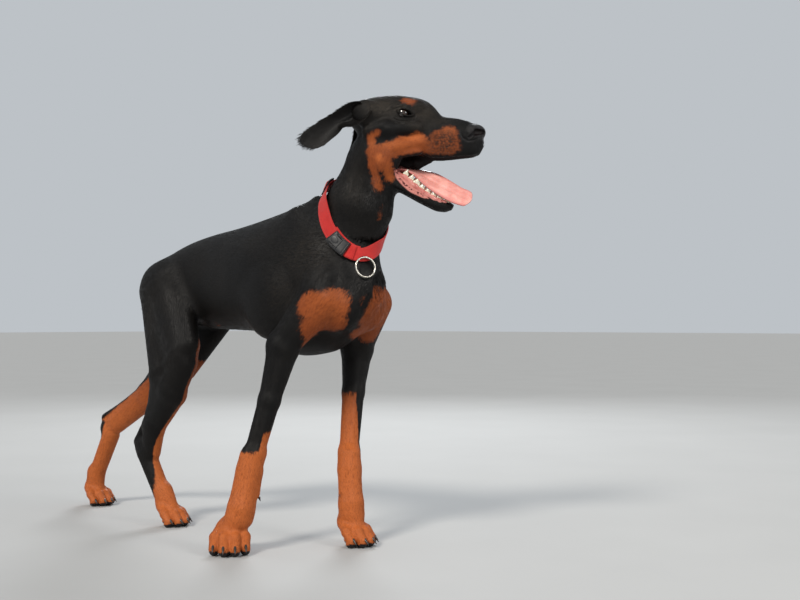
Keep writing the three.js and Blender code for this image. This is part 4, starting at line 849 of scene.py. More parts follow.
def coat_material(name, skin):
    """The markings by place, the same on the skin and the hair; the skin adds leather, lips and mouth."""
    m = Shader(name, Roughness=0.42, Specular_IOR_Level=0.16, Sheen_Weight=0.02, Sheen_Roughness=0.4,
               Sheen_Tint=(0.6, 0.5, 0.42, 1))
    pos = m.coords()
    tan = m.attr("tan")
    for scale, detail, ragged in ((160.0, 3.0, 10.0), (48.0, 2.0, 9.0)):
        tan = m.math("ADD", tan, m.times(m.math("SUBTRACT", m.noise(pos, scale, detail), 0.5), ragged))
    mask = m.step(tan, -3.2, 3.4)
    broad = m.noise(pos, 9.0, 3.0)
    fine = m.noise(m.attr("streak", True), 1.0, 2.0) if skin else m.attr("rand")
    black = m.mix(m.step(broad, 0.35, 0.7), (0.0030, 0.0028, 0.0030), (0.0060, 0.0052, 0.0048))
    # painted sheen: a brown-grey highlight colour mixed into the black
    black = m.mix(m.times(m.attr("painted_sheen"), m.step(fine, 0.2, 0.9)), black, (0.060, 0.047, 0.034))
    rust = m.mix(m.step(fine, 0.15, 0.85), (0.165, 0.036, 0.009), (0.34, 0.080, 0.019))
    rust = m.mix(m.step(broad, 0.3, 0.75), rust, (0.20, 0.044, 0.011))
    # painted highlight: a lighter, brighter tan mixed in where the tan is painted as lit
    rust = m.mix(m.times(m.attr("painted_highlight"), m.step(fine, -0.4, 0.9)), rust, (0.62, 0.165, 0.040))
    sooty = m.times(m.attr("dusk"), m.step(m.noise(pos, 260.0, 2.0), 0.15, 0.72))
    colour = m.mix(mask, black, m.mix(sooty, rust, (0.034, 0.015, 0.009)))
    if skin:
        depth = m.attr("depth")
        inside = m.math("MAXIMUM", m.step(depth, 4.6, 7.0), m.attr("lip"))
        pink = m.mix(m.noise(pos, 130.0, 3.0), (0.42, 0.125, 0.105), (0.62, 0.26, 0.22))
        bead = m.node("TexVoronoi", 0, Vector=pos, Scale=210.0)
        bead = m.times(m.step(m.attr("bead"), 0.25, 0.6), m.math("SUBTRACT", 1.0, m.step(bead, 0.36, 0.5)))
        flesh = m.mix(m.attr("pink"), (0.012, 0.008, 0.008), m.mix(bead, pink, (0.10, 0.022, 0.020)))
        bare = m.math("MAXIMUM", m.step(depth, 2.0, 3.6), m.attr("leather"))
        hide = m.mix(m.noise(pos, 220.0, 2.0), (0.006, 0.0055, 0.006), (0.020, 0.018, 0.019))
        colour = m.mix(inside, m.mix(bare, colour, hide), flesh)
        cells = m.node("TexVoronoi", 0, Vector=pos, Scale=900.0, feature="DISTANCE_TO_EDGE")
        m.link("Roughness", m.between(bare, 0.46, 0.33))
        hair = m.bump(fine, 0.5, 0.0005)
        m.link("Normal", m.bump(m.times(cells, bare), 0.6, 0.0006, Normal=hair))
    m.link("Base Color", colour)
    return m.mat


# --- the skin
NECK_CUT, NECK_AXIS = np.array([333, -4, 602.0]), unit([0.77, -0.2, 0.6])
HEAD_FROM = 590
FLOOR_GAP = 0.4
# each half of the skin: side of the collar's plane, grid cell and the box that it is sampled in
HALVES = ((-1, BODY_CELL, (-500, -240, -14), (430, 150, 700)), (1, HEAD_CELL, (225, -122, 560), (572, 150, 832)))


class Parted(Field):
    """The field on one side of the collar's plane; the two sides overlap under the band."""
    def __init__(self, source, sign):
        super().__init__(source.items)
        self.sign = sign

    def __call__(self, p, margin=14.0):
        f = super().__call__(p, margin)
        side = (np.asarray(p) - NECK_CUT) @ NECK_AXIS * self.sign
        if self.sign > 0:
            f = f + 0.5 * np.clip(1 - (side + 1) / 3, 0, 1)
        return np.maximum(f, -side - 5)


def fine_places(sign, mid):
    """Where the skin gets smaller triangles: the paws, and round the eyes and nose."""
    if sign < 0:
        return mid[:, 2] < 58
    h = HEAD.local(mid)
    eye = np.minimum(*(np.linalg.norm(h - [71, s * 34, 1], axis=1) for s in (-1, 1))) < 20
    return eye | ((h[:, 0] > 186) & (h[:, 2] > -60))


def build_skin():
    """One mesh of both halves and the two ears."""
    iso = -COAT_DEPTH
    parts = []
    for sign, cell, lo, hi in HALVES:
        part = Parted(body, sign)
        values, origin = sample(part, lo, hi, cell)
        v, q = surface_nets(values - iso, origin, cell)
        v = project(part, v, iso)
        t = to_tris(v, q)
        v, t = refine(v, t, fine_places(sign, v[t].mean(1)))
        parts.append((project(part, v, iso), t))
    for s in (-1, 1):
        v, q = ear_leaf(s)
        t = to_tris(v, q)
        inside_out = np.einsum("ij,ij->i", v[t[:, 0]], np.cross(v[t[:, 1]], v[t[:, 2]])).sum() < 0
        parts.append((v, t[:, ::-1] if inside_out else t))
    base = np.cumsum([0] + [len(v) for v, _ in parts])
    return np.concatenate([v for v, _ in parts]), np.concatenate([t + b for (_, t), b in zip(parts, base)])


def normals_of(v, t):
    fn = np.cross(v[t[:, 1]] - v[t[:, 0]], v[t[:, 2]] - v[t[:, 0]])
    out = np.zeros_like(v)
    for i in range(3):
        np.add.at(out, t[:, i], fn)
    return unit(out)


skin_v, skin_t = build_skin()
skin_v[:, 2] = np.maximum(skin_v[:, 2], FLOOR_GAP)
skin_n = normals_of(skin_v, skin_t)
skin_flow = lie(skin_v, skin_n)
depth = np.zeros(len(skin_v))
near_head = skin_v[:, 2] > HEAD_FROM
depth[near_head] = -in_blocks(outer, skin_v[near_head])
depth[-EAR_VERTS:] = 0

# on the head: places along it and their heights, then radii and strength
# painted sheen: where brown-grey highlights of the glossy black coat are painted on the head
PAINTED_SHEEN_HEAD = [(34, 13, 30, 20, 0.95), (62, 8, 22, 18, 0.7), (108, 2, 22, 22, 0.8), (98, -24, 22, 14, 0.55),
             (130, -14, 26, 12, 0.5), (70, 34, 40, 12, 0.5), (76, -20, 22, 6, 0.5), (10, -20, 14, 18, 0.35)]
# painted highlight: where the tan of the head is painted lighter as if lit
PAINTED_HIGHLIGHT_HEAD = [(92, -44, 20, 10, 0.75), (60, -56, 34, 10, 0.5), (32, -79, 7, 8, 0.8), (48, -108, 8, 16, 0.35),
             (20, -50, 8, 14, 0.35), (152, -30, 12, 8, 0.4)]
# on the body: x and height, radii and strength
# painted sheen on the black of the shoulder, neck, flank and back
PAINTED_SHEEN_BODY = [(286, 530, 60, 46, 0.34), (240, 470, 40, 60, 0.22), (372, 660, 26, 50, 0.28), (330, 640, 16, 60, 0.25),
             (-60, 450, 60, 40, 0.12), (-150, 420, 34, 70, 0.16), (120, 560, 90, 30, 0.10)]


def blobs(p, rows):
    """The strongest of soft spots: rows of a centre, radii and a strength."""
    n = p.shape[1]
    out = np.zeros(len(p))
    for row in rows:
        out = np.maximum(out, row[2 * n] * np.exp(-(((p - row[:n]) / row[n:2 * n])**2).sum(1)))
    return out


def places(p, normal):
    """Attributes shared by the skin and the coat, from the place on the body alone."""
    h = HEAD.local(p)
    profile, body_side = h[:, [0, 2]], p[:, [0, 2]]
    e = (h - [205, 0, -31]) / [31, 30, 20]
    leather = np.clip((1 - np.sqrt((e * e).sum(1))) * 8, 0, 1)
    pads = ((p[:, 2] < 12) & (normal[:, 2] < -0.2)).astype(float)
    # the dusk of the muzzle: the whisker bed, the end of the nose and the lip's edge
    bed = np.clip(1.4 - np.linalg.norm((profile - [146, -52]) / [30, 26], axis=1), 0, 1)
    bed = np.maximum(bed, 0.8 * np.clip((h[:, 0] - 156) / 16, 0, 1))
    bed = np.maximum(bed, 0.9 * np.clip((-68 - h[:, 2]) / 7, 0, 1) * (h[:, 0] > 112))
    bed = np.where(h[:, 0] > 100, bed, 0)
    # painted sheen: brown-grey highlights on the black hair, less of it on the cheek and round the eye, which stay
    # black
    painted_sheen = blobs(profile, PAINTED_SHEEN_HEAD)
    painted_sheen = painted_sheen * (1 - 0.9 * np.exp(-((h[:, 0] - 54) / 30)**4 - ((h[:, 2] + 30) / 14)**4))
    painted_sheen = painted_sheen * (1 - 0.6 * np.exp(-(np.hypot(h[:, 0] - 75, (h[:, 2] + 2) * 1.4) / 15)**4))
    painted_sheen = np.where((p[:, 2] > 660) & (h[:, 0] > -30), painted_sheen, 0.04)
    painted_sheen = np.maximum(painted_sheen, blobs(body_side, PAINTED_SHEEN_BODY))
    # painted highlight: the tan lighter low on the legs and on lit places of the head and chest
    painted_highlight = np.maximum(0.75 * np.clip((300 - p[:, 2]) / 120, 0, 1), blobs(profile, PAINTED_HIGHLIGHT_HEAD) * (p[:, 2] > 600))
    painted_highlight = np.maximum(painted_highlight, blobs(body_side, [(345, 440, 40, 30, 0.3)]))
    return dict(tan=tan_distance(p), leather=np.maximum(leather, pads), dusk=bed, painted_sheen=painted_sheen, painted_highlight=painted_highlight)


side_way = np.cross(skin_n, skin_flow)
streak = np.stack([(skin_v * way).sum(1) / width
                   for way, width in ((side_way, 0.55), (skin_n, 3), (skin_flow, 6))], 1)
# the mouth: the pink of the lower lip above its line, and the inner faces of the upper lip
in_jaw, in_head = JAW.local(skin_v), HEAD.local(skin_v)
on_jaw = np.clip((24 - in_jaw[:, 2]) / 5, 0, 1) * np.clip(in_jaw[:, 0] / 4, 0, 1) * (depth > -3)
above = in_jaw[:, 2] - LIP_LINE(in_jaw[:, 0])[0]
inward = -(skin_n @ HEAD.turn([0, 1, 0])) * np.sign(in_head[:, 1])
inward = np.clip((inward - 0.15) / 0.3, 0, 1) * (in_head[:, 0] > 40)
inward = inward * (in_head[:, 2] < -62) * (np.abs(in_head[:, 1]) > 6)
lip = np.clip(above / 1.6, 0, 1) * (on_jaw > 0.5) * near_head * (np.abs(in_jaw[:, 1]) < 40)
lip = lip * np.clip((in_jaw[:, 0] - 5) / 3, 0, 1) * np.clip((13 - in_jaw[:, 2]) / 2, 0, 1)
skin_attrs = dict(places(skin_v, skin_n), streak=streak, depth=depth, pink=on_jaw,
                  lip=np.maximum(lip, inward), bead=np.exp(-((above - 5.0) / 2.2)**2) * lip)
COAT_SKIN = coat_material("coat_skin", True)
COAT_HAIR = coat_material("coat_hair", False)
skin = put("skin", skin_v, skin_t, COAT_SKIN, attrs=skin_attrs)
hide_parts("head", "lower_jaw", "nose", "ear_right", "ear_left", "neck", "torso", "tail",
            "foreleg_right", "foreleg_left", "hindleg_right", "hindleg_left",
            "paw_front_right", "paw_front_left", "paw_hind_right", "paw_hind_left")

# --- eyes
EYE_ROWS, EYE_AROUND = 28, 40
eye_mat = Shader("eye", Roughness=0.12, Coat_Weight=1.0, Coat_Roughness=0.02)
r = eye_mat.attr("radial")
iris = eye_mat.mix(eye_mat.step(r, 0.40, 0.46), (0.002, 0.002, 0.002), (0.035, 0.014, 0.006))
iris = eye_mat.mix(eye_mat.step(r, 0.78, 0.9), iris, (0.012, 0.006, 0.005))
flecks = eye_mat.times(eye_mat.noise(eye_mat.coords(), 900.0), 0.4)
eye_mat.link("Base Color", eye_mat.mix(flecks, iris, (0.01, 0.005, 0.003)))
for s, word in ((-1, "right"), (1, "left")):
    c, along, up, out = eye_axes(s)
    th, ph = np.meshgrid(np.linspace(0, math.pi, EYE_ROWS + 1), np.arange(EYE_AROUND) / EYE_AROUND * 2 * math.pi,
                         indexing="ij")
    cornea = 1 + 0.05 * np.exp(-(th / 0.42)**2)
    ring = np.stack([np.sin(th) * np.cos(ph), np.sin(th) * np.sin(ph), np.cos(th)], -1) * (cornea * EYE_R)[..., None]
    pts = EYE_AT[s] + ring[..., :1] * along + ring[..., 1:2] * up + ring[..., 2:] * out
    # one vertex at each pole, and the rows between them
    keep = slice(EYE_AROUND - 1, EYE_ROWS * EYE_AROUND + 1)
    pts, radial = pts.reshape(-1, 3)[keep], (th / 0.62).ravel()[keep]
    quads = 1 + grid_quads(EYE_ROWS - 1, EYE_AROUND, flip=True)
    j, last = np.arange(EYE_AROUND), len(pts) - 1
    k, low = (j + 1) % EYE_AROUND, last - EYE_AROUND
    caps = np.concatenate([np.stack([0 * j, 1 + j, 1 + k], 1), np.stack([last + 0 * j, low + k, low + j], 1)])
    ob = put("eyeball_" + word, pts, [quads, caps], eye_mat.mat, attrs=dict(radial=radial))
    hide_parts("eye_" + word)


# --- tongue, gums and teeth
def cubic(a, b, c, d, f):
    """A smooth curve from b to c, with a and d before and after them."""
    return 0.5 * (2 * b + (c - a) * f + (2 * a - 5 * b + 4 * c - d) * f**2 + (3 * b - a - 3 * c + d) * f**3)


def spline(points, u):
    p = np.array(points, float)
    n = len(p) - 1
    x = np.clip(u, 0, 1) * n
    i = np.minimum(x.astype(int), n - 1)
    ext = np.vstack([2 * p[0] - p[1], p, 2 * p[-1] - p[-2]])
    return cubic(*(ext[i + k] for k in range(4)), (x - i)[:, None])


# points of the tongue's middle on the head, its half width and its roll in degrees along it
TONGUE_LINE = [(48, 0, -100), (66, 0, -98), (88, -1, -104), (112, -3, -116), (136, -4, -130), (160, -5, -143),
               (180, -5, -151), (189, -5, -155)]
TONGUE_W = table([[0, 12], [0.2, 17], [0.42, 20.5], [0.7, 21.5], [0.88, 19], [0.96, 13], [1, 5]])
TONGUE_ROLL = table([[0, 0], [0.25, 14], [0.5, 50], [0.8, 50], [1, 42]])
TONGUE_ROWS, TONGUE_ACROSS = 64, 26


def tongue_at(u, t, side):
    c, c1 = spline(TONGUE_LINE, u), spline(TONGUE_LINE, np.minimum(u + 0.01, 1))
    c0 = spline(TONGUE_LINE, np.maximum(u - 0.01, 0))
    d = unit(c1 - c0)
    normal = unit(np.stack([-d[:, 2], 0 * u, d[:, 0]], 1))
    turn = np.radians(TONGUE_ROLL(u)[0])[:, None]
    y = np.array([0, 1, 0])
    across, up = y * np.cos(turn) + normal * np.sin(turn), normal * np.cos(turn) - y * np.sin(turn)
    w = TONGUE_W(u)[0]
    h = 3.5 * (1 - 0.75 * t**4) * (1 - 0.5 * u**6)
    groove = -1.9 * np.exp(-(t / 0.16)**2) * np.sin(np.clip(u * 1.1, 0, 1) * math.pi)**0.5
    groove = groove + 3.2 * t * t * np.sin(np.minimum(1, u * 1.3) * math.pi)
    ripple = 0.5 * np.sin(u * 21 + t * 2) * t * t
    return HEAD.world(c + across * (t * w)[:, None] + up * (groove + ripple + side * h)[:, None])


tongue_mat = Shader("tongue", Roughness=0.38, Coat_Weight=0.35, Coat_Roughness=0.2, Subsurface_Weight=0.15,
                    Subsurface_Radius=(0.004, 0.0015, 0.001))
pos = tongue_mat.coords()
tone = tongue_mat.step(tongue_mat.noise(pos, 60.0, 3.0), 0.3, 0.7)
tone = tongue_mat.mix(tone, (0.70, 0.27, 0.23), (0.86, 0.42, 0.36))
tone = tongue_mat.mix(tongue_mat.step(tongue_mat.attr("rim"), 0.7, 1.0), tone, (0.60, 0.19, 0.17))
# painted shadow: the far side of the tongue, which curls away from the light, darkened
tone = tongue_mat.mix(tongue_mat.step(tongue_mat.attr("far"), 0.2, 0.9), tone, (0.16, 0.05, 0.05))
tongue_mat.link("Base Color", tone)
buds = tongue_mat.node("TexVoronoi", 0, Vector=pos, Scale=1100.0)
tongue_mat.link("Normal", tongue_mat.bump(buds, 0.25, 0.0005))
v, f = ribbon(TONGUE_ROWS, TONGUE_ACROSS, tongue_at)
t = np.linspace(-1, 1, TONGUE_ACROSS + 1)
t = np.tile(np.concatenate([t, t[::-1]]), TONGUE_ROWS + 1)
# how deep each point lies in the painted shadow on the tongue's far side
far = np.clip((t - 0.55) / 0.4, 0, 1) * np.clip((146 - HEAD.local(v)[:, 0]) / 20, 0, 1)
tongue = put("tongue_flesh", v, f, tongue_mat.mat, attrs=dict(rim=np.abs(t), far=far))
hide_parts("tongue")

JAW_TOP = table(JAW_ROWS)
ARCH = table([[8, 19.5], [40, 18.8], [70, 16.2], [90, 14], [102, 12.2], [118, 4]])
# a crown from root to point: heights and widths as shares of the whole
CROWN = ((-0.35, 0.8), (0, 0.95), (0.18, 1.04), (0.4, 0.92), (0.62, 0.68), (0.8, 0.44), (0.93, 0.22), (1, 0.08))
CHEEK_TEETH, CHEEK_PITCH, CARNASSIAL = 7, 12.2, 4


def cheek_place(i, s, sunk):
    x = 99 - i * CHEEK_PITCH
    return [x, s * ARCH(x)[0], JAW_TOP(x)[0] - sunk]


def tooth(fr, at, axis, long_way, radii, height, n=12, lean=(0, 0, 0)):
    """A crown on a root in a local frame: a swelling above the gum, then a point."""
    at, axis, lean = fr.world(at), unit(fr.turn(axis)), fr.turn(lean)
    long_way = fr.turn(long_way)
    x = unit(long_way - axis * np.dot(long_way, axis))
    y = np.cross(axis, x)
    return revolve([(at + axis * height * h + lean * height * h * h, x * radii[0] * w, y * radii[1] * w)
                    for h, w in CROWN], n)


def molar(at, s, long_radius, height):
    """A cheek tooth: a tall middle cusp between two low ones."""
    way = np.array([1, s * -0.15, 0])
    return [tooth(JAW, at + unit(way) * long_radius * shift, [0, s * 0.08, 1], way,
                  (long_radius * wide, 2.9 * (0.9 if shift else 1)), height * tall, 10)
            for shift, tall, wide in ((0, 1.0, 0.72), (-0.55, 0.55, 0.55), (0.58, 0.5, 0.55))]


teeth = []
for s in (-1, 1):
    for i in range(3):
        teeth.append(tooth(JAW, [117 - i * 1.4, s * (1.8 + i * 3.0), 0], [0.25, 0, 1], [0, 1, 0], (1.7, 1.4), 6.0))
    teeth.append(tooth(JAW, [110, s * 10.2, 1], [0.15, s * 0.16, 1], [1, 0, 0], (3.7, 2.9), 15, lean=[-0.12, 0, 0]))
    for i in range(CHEEK_TEETH):
        # the far carnassial is short, or its tip would stand through the tongue
        height = (13 if s < 0 else 9.5) if i == CARNASSIAL else 8 + i * 0.6
        teeth += molar(cheek_place(i, s, 1.5), s, 6.6 if i == CARNASSIAL else 5.0, height)
    teeth.append(tooth(HEAD, [183, s * 14, -63], [0.1, 0, -1], [1, 0, 0], (3.8, 3.0), 12))
    for i in range(3):
        teeth.append(tooth(HEAD, [193 - i * 2.4, s * (2 + i * 3.4), -65], [0.1, 0, -1], [0, 1, 0], (1.9, 1.6), 6.5))
put_heap("teeth", teeth, mottled("enamel", (240.0, 3.0), ((0.62, 0.52, 0.36), (0.86, 0.80, 0.66)),
                                 relief=(500.0, 0.12, 0.0003), Roughness=0.25, Coat_Weight=0.5,
                                 Coat_Roughness=0.1, Subsurface_Weight=0.1))

GUM_CELL = 1.6
gums = Field()
rail = [[x, ARCH(x)[0], JAW_TOP(x)[0] - 6.5] for x in (14, 30, 50, 70, 90, 102)] + [[110, 8.5, -5], [114, 3.0, -5]]
rail = np.array(rail, float)
rail = np.vstack([rail * [1, -1, 1], rail[::-1]])
gums.add(JAW, chain(rail, np.interp(rail[:, 0], [84, 104], [5.0, 3.2]), 3))
for s in (-1, 1):
    gums.add(JAW, [Ball(cheek_place(i, s, 3), [5.6, 4.2, 3.6], 2.5) for i in range(CHEEK_TEETH)])
    gums.add(JAW, [Ball([110, s * 10, 0], [4.6, 4.0, 4.2], 2.5)])
gum_lo, gum_hi = (np.array(pick([it[2 + i] for it in gums.items], axis=0)) for i, pick in enumerate((np.min, np.max)))
values, origin = sample(gums, gum_lo - 4, gum_hi + 4, GUM_CELL)
v, q = surface_nets(values, origin, GUM_CELL)
v = project(gums, v, 0.0)
put("gums", v, to_tris(v, q), mottled("gum", (90.0, 3.0), ((0.46, 0.12, 0.10), (0.62, 0.24, 0.20)), soft=(0.35, 0.65),
                                      spots=(320.0, 0.66, 0.74, (0.09, 0.02, 0.02)), relief=(400.0, 0.3, 0.0004),
                                      Roughness=0.34, Coat_Weight=0.4, Coat_Roughness=0.15))


# --- claws
def toe_claw(fr, y, front):
    """A curved claw from the end of a toe, tapered to its tip."""
    root, way = np.array([front + 2, y * 1.02, 16.5]), np.array([0.86, y * 0.004, -0.5])
    rings = []
    for g in np.linspace(0, 1, 8):
        c = root + way * (17 * g) + [0, 0, 2.2 * math.sin(g * math.pi) - g * g]
        w = 3.5 * (1 - 0.86 * g**1.4) * fr.scale
        rings.append((fr.world(c), fr.turn([0, 1, 0]) * w, fr.turn([0.45, 0, 0.9]) * w * 1.12))
    return revolve(rings, 10)


def dewclaw(j):
    """The small claw on the inner side of a foreleg."""
    yaw = math.radians(j["yaw"])
    across = np.array([-math.sin(yaw), math.cos(yaw), 0]) * np.sign(-j["elbow"][1])
    root = (j["wrist"] + j["pastern"]) / 2 + across * 24 + [0, 0, -4]
    return revolve([(root + (across * 0.2 + [0.25, 0, -1]) * 8 * g, np.array([1, 0, 0]) * w, across * w)
                    for g, w in ((g, 2.6 * (1 - 0.85 * g)) for g in np.linspace(0, 1, 6))], 8)


put_heap("claws", [toe_claw(fr, y, front) for fr in PAWS for y, front in TOES] + [dewclaw(j) for j in (RIGHT, LEFT)],
         mottled("horn", (300.0, 3.0), ((0.006, 0.005, 0.005), (0.05, 0.035, 0.025)), relief=(700.0, 0.2, 0.0003),
                 Roughness=0.34))


# --- the collar, on the rails of its packed band
STATIONS = 40
AXIS_U = unit(np.array([-1.0, 0, 0]) + NECK_AXIS * NECK_AXIS[0])
AXIS_V = np.cross(NECK_AXIS, AXIS_U)
BAND_ROWS, BAND_AROUND = 320, 28
RING_ROWS, RING_AROUND = 96, 16


def node_points(name):
    """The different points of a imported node, in mm."""
    me = bpy.data.objects[name].data
    co = np.empty(len(me.vertices) * 3, np.float32)
    me.vertices.foreach_get("co", co)
    return np.unique(co.reshape(-1, 3), axis=0) / MM - SHIFT


def sorted_by(rows, measure):
    return np.stack([r[np.argsort(measure(r))] for r in rows])


# four rails of one point a station, sorted by their turn about the neck, then lower and higher, inner and outer
rails = node_points("collar_band")
q = rails - NECK_CUT
turn = np.degrees(np.arctan2(q @ AXIS_V, q @ AXIS_U))
rails = rails[np.argsort((turn + 180 / STATIONS) % 360)].reshape(STATIONS, 4, 3)
rails = sorted_by(rails, lambda r: r @ NECK_AXIS)
centre = rails.mean((0, 1))
low, high = (sorted_by(part, lambda r: np.linalg.norm(np.cross(r - centre, NECK_AXIS), axis=1))
             for part in (rails[:, :2], rails[:, 2:]))
BAND_MID = (low[:, 0] + high[:, 0]) / 2
BAND_ACROSS = unit(high[:, 0] - low[:, 0])
BAND_OUT = unit(low[:, 1] + high[:, 1] - low[:, 0] - high[:, 0])
BAND_STEP = np.linalg.norm(np.diff(BAND_MID, axis=0, append=BAND_MID[:1]), axis=1).mean()


def band_at(t, along, out):
    """A point of the collar: stations round the neck, mm towards the head, mm off the neck."""
    i = np.floor(t).astype(int)
    f = (t - i)[:, None]
    mid, off, across = (cubic(*(rows[(i + k) % STATIONS] for k in (-1, 0, 1, 2)), f)
                        for rows in (BAND_MID, BAND_OUT, BAND_ACROSS))
    return mid + unit(off) * np.reshape(out, (-1, 1)) + unit(across) * np.reshape(along, (-1, 1))


def strap_piece(name, mat, t0, t1, a0, a1, low, height, n, m):
    """A closed piece on the band: `height` gives its thickness from place along and across."""
    marks = []

    def at(u, t, side):
        along = (a0 + a1) / 2 + t * (a1 - a0) / 2
        marks.append(np.stack([(t0 + (t1 - t0) * u) * BAND_STEP, along, 0 * u], 1)[::side])
        rise = height(u, t)
        return band_at(t0 + (t1 - t0) * u, along, low + (rise if side > 0 else 0 * rise))

    v, f = ribbon(n, m, at)
    return put(name, v, f, mat, attrs=dict(band=np.concatenate(marks)))


def webbing(name, turned=False):
    """Woven nylon with a line of stitches near each edge, by place along and across the band."""
    m = Shader(name, Roughness=0.62, Specular_IOR_Level=0.35, Sheen_Weight=0.12, Sheen_Roughness=0.5)
    split = m.tree.nodes.new("ShaderNodeSeparateXYZ")
    m.tree.links.new(m.attr("band", True), split.inputs[0])
    x, y = (split.outputs[1], split.outputs[0]) if turned else (split.outputs[0], split.outputs[1])
    rib, back = (m.math("SINE", m.math(op, m.times(x, 4.4), m.times(y, 2.6))) for op in ("ADD", "SUBTRACT"))
    weave = m.times(rib, back)
    seam = m.math("COMPARE", m.math("ABSOLUTE", y), 9.6, 0.45)
    stitch = m.times(seam, m.math("GREATER_THAN", m.math("SINE", m.times(x, 2.1)), -0.55))
    cloth = m.mix(m.noise(m.coords(), 70.0, 3.0), (0.50, 0.011, 0.010), (0.72, 0.026, 0.018))
    cloth = m.mix(m.step(weave, -0.9, 0.2), (0.30, 0.006, 0.006), cloth)
    m.link("Base Color", m.mix(m.times(stitch, 0.6), cloth, (0.80, 0.06, 0.05)))
    m.link("Normal", m.bump(stitch, 0.8, 0.0006, Normal=m.bump(weave, 0.55, 0.0004)))
    return m.mat


def power(x, e):
    return np.sign(x) * np.abs(x)**e


def buckle_height(u, t):
    """The relief of the side-release buckle: two arms in their windows, a parting line, ribs at its ends."""
    body_h = 6.6 * (1 - 0.30 * np.abs(t)**5) * np.clip(np.minimum(u, 1 - u) / 0.05, 0.35, 1)**0.5
    mid = np.exp(-((u - 0.44) / 0.17)**4)
    window = np.clip((np.abs(t) - 0.62) / 0.05, 0, 1) * mid
    arm = np.clip((np.abs(t) - 0.72) / 0.05, 0, 1) * np.exp(-((u - 0.44) / 0.13)**4)
    parting = np.exp(-((u - 0.66) / 0.012)**2) * 1.2
    rib = 0.9 * np.exp(-((np.abs(u - 0.5) - 0.42) / 0.018)**2) * (np.abs(t) < 0.85)
    plate = 0.7 * np.clip(1 - ((u - 0.34) / 0.2)**2 - (t / 0.42)**2, 0, 1)**0.4
    return np.maximum(body_h - 2.6 * window + 1.9 * arm - parting - rib + plate, 0.8)


def tail_height(u, t):
    return 1.3 * (1 - 0.5 * t**6)


def loop_height(u, t):
    return 3.1 * (1 - 0.75 * np.abs(t)**9) * (1 - 0.35 * np.abs(2 * u - 1)**4)


def frame_height(u, t):
    """The slide's frame, with a slot on each side of its bar."""
    return 2.8 - 1.9 * (np.abs(t) < 0.82) * (np.abs(np.abs(u - 0.5) - 0.24) < 0.13)


def hump_height(u, t):
    """The webbing where it rides over the slide's bar."""
    return 0.9 + 4.6 * np.sin(np.clip(u, 0, 1) * math.pi)**0.7 * (1 - 0.4 * np.abs(t)**8)


red, red_across = webbing("webbing"), webbing("webbing_across", True)
plastic = mottled("buckle_plastic", (120.0, 3.0), ((0.008, 0.008, 0.009), (0.020, 0.020, 0.021)),
                  relief=(2600.0, 0.25, 0.0002), sheen=(60.0, 0.30, 0.50), Roughness=0.38, Specular_IOR_Level=0.45)
steel = mottled("ring_metal", (300.0, 3.0), ((0.30, 0.28, 0.24), (0.56, 0.54, 0.49)), soft=(0.3, 0.75),
                relief=(1500.0, 0.12, 0.0002), sheen=(500.0, 0.12, 0.34), Metallic=1.0, Roughness=0.2)

a = np.arange(BAND_AROUND) / BAND_AROUND * 2 * math.pi
t = np.repeat(np.arange(BAND_ROWS) / BAND_ROWS * STATIONS, BAND_AROUND)
along = np.tile(12.4 * power(np.cos(a), 0.22), BAND_ROWS)
v = band_at(t, along, np.tile(1.2 + 1.1 * power(np.sin(a), 0.3), BAND_ROWS))
ob = put("collar_webbing", v, grid_quads(BAND_ROWS, BAND_AROUND, closed=True), red,
         attrs=dict(band=np.stack([t * BAND_STEP, along, 0 * t], 1)))
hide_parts("collar_band")

# each piece's material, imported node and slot, stations, mm across, mm off the neck, relief and rows
STRAP_PIECES = [
    ("collar_clasp", plastic, "collar_buckle", "buckle_black", 12, 15, -15, 12.4, 2.6, buckle_height, 90, 56),
    ("collar_tail", red, None, "webbing_red", 11.2, 16.8, 8.2, 15.4, 0.9, tail_height, 60, 10),
    ("collar_loop", red_across, "collar_keeper", "webbing_red", 15.15, 16.0, -13.2, 13.6, 2.5, loop_height, 18, 28),
    ("collar_frame", plastic, "collar_slide", "buckle_black", -2, 0, -15, 15, 2.5, frame_height, 48, 34),
    ("collar_hump", red, None, "webbing_red", -1.78, -0.22, -11.8, 11.8, 2.9, hump_height, 36, 24)]
for name, mat, node, slot, *form in STRAP_PIECES:
    ob = strap_piece(name, mat, *form)
    if node:
        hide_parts(node)

# the ring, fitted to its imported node, with a low bead where the wire is welded
wire = node_points("collar_ring")
ring_c = wire.mean(0)
x, y, z = np.linalg.svd(wire - ring_c)[2]
far = np.linalg.norm(wire - ring_c - ((wire - ring_c) @ z)[:, None] * z, axis=1)
ring_r, wire_r = (far.max() + far.min()) / 2, (far.max() - far.min()) / 2
a, b = np.meshgrid(*(np.arange(n) / n * 2 * math.pi for n in (RING_ROWS, RING_AROUND)), indexing="ij")
a, b = a.ravel(), b.ravel()
swell = wire_r * (1 + 0.14 * np.exp(-((a - 4.6) / 0.06)**2))
reach = ring_r + swell * np.cos(b)
v = ring_c + (reach * np.cos(a))[:, None] * x + (reach * np.sin(a))[:, None] * y + (swell * np.sin(b))[:, None] * z
faces = grid_quads(RING_ROWS, RING_AROUND, closed=True, flip=True)
left_handed = np.dot(np.cross(x, y), z) < 0
ob = put("collar_eye", v, faces[:, ::-1] if left_handed else faces, steel)
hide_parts("collar_ring")

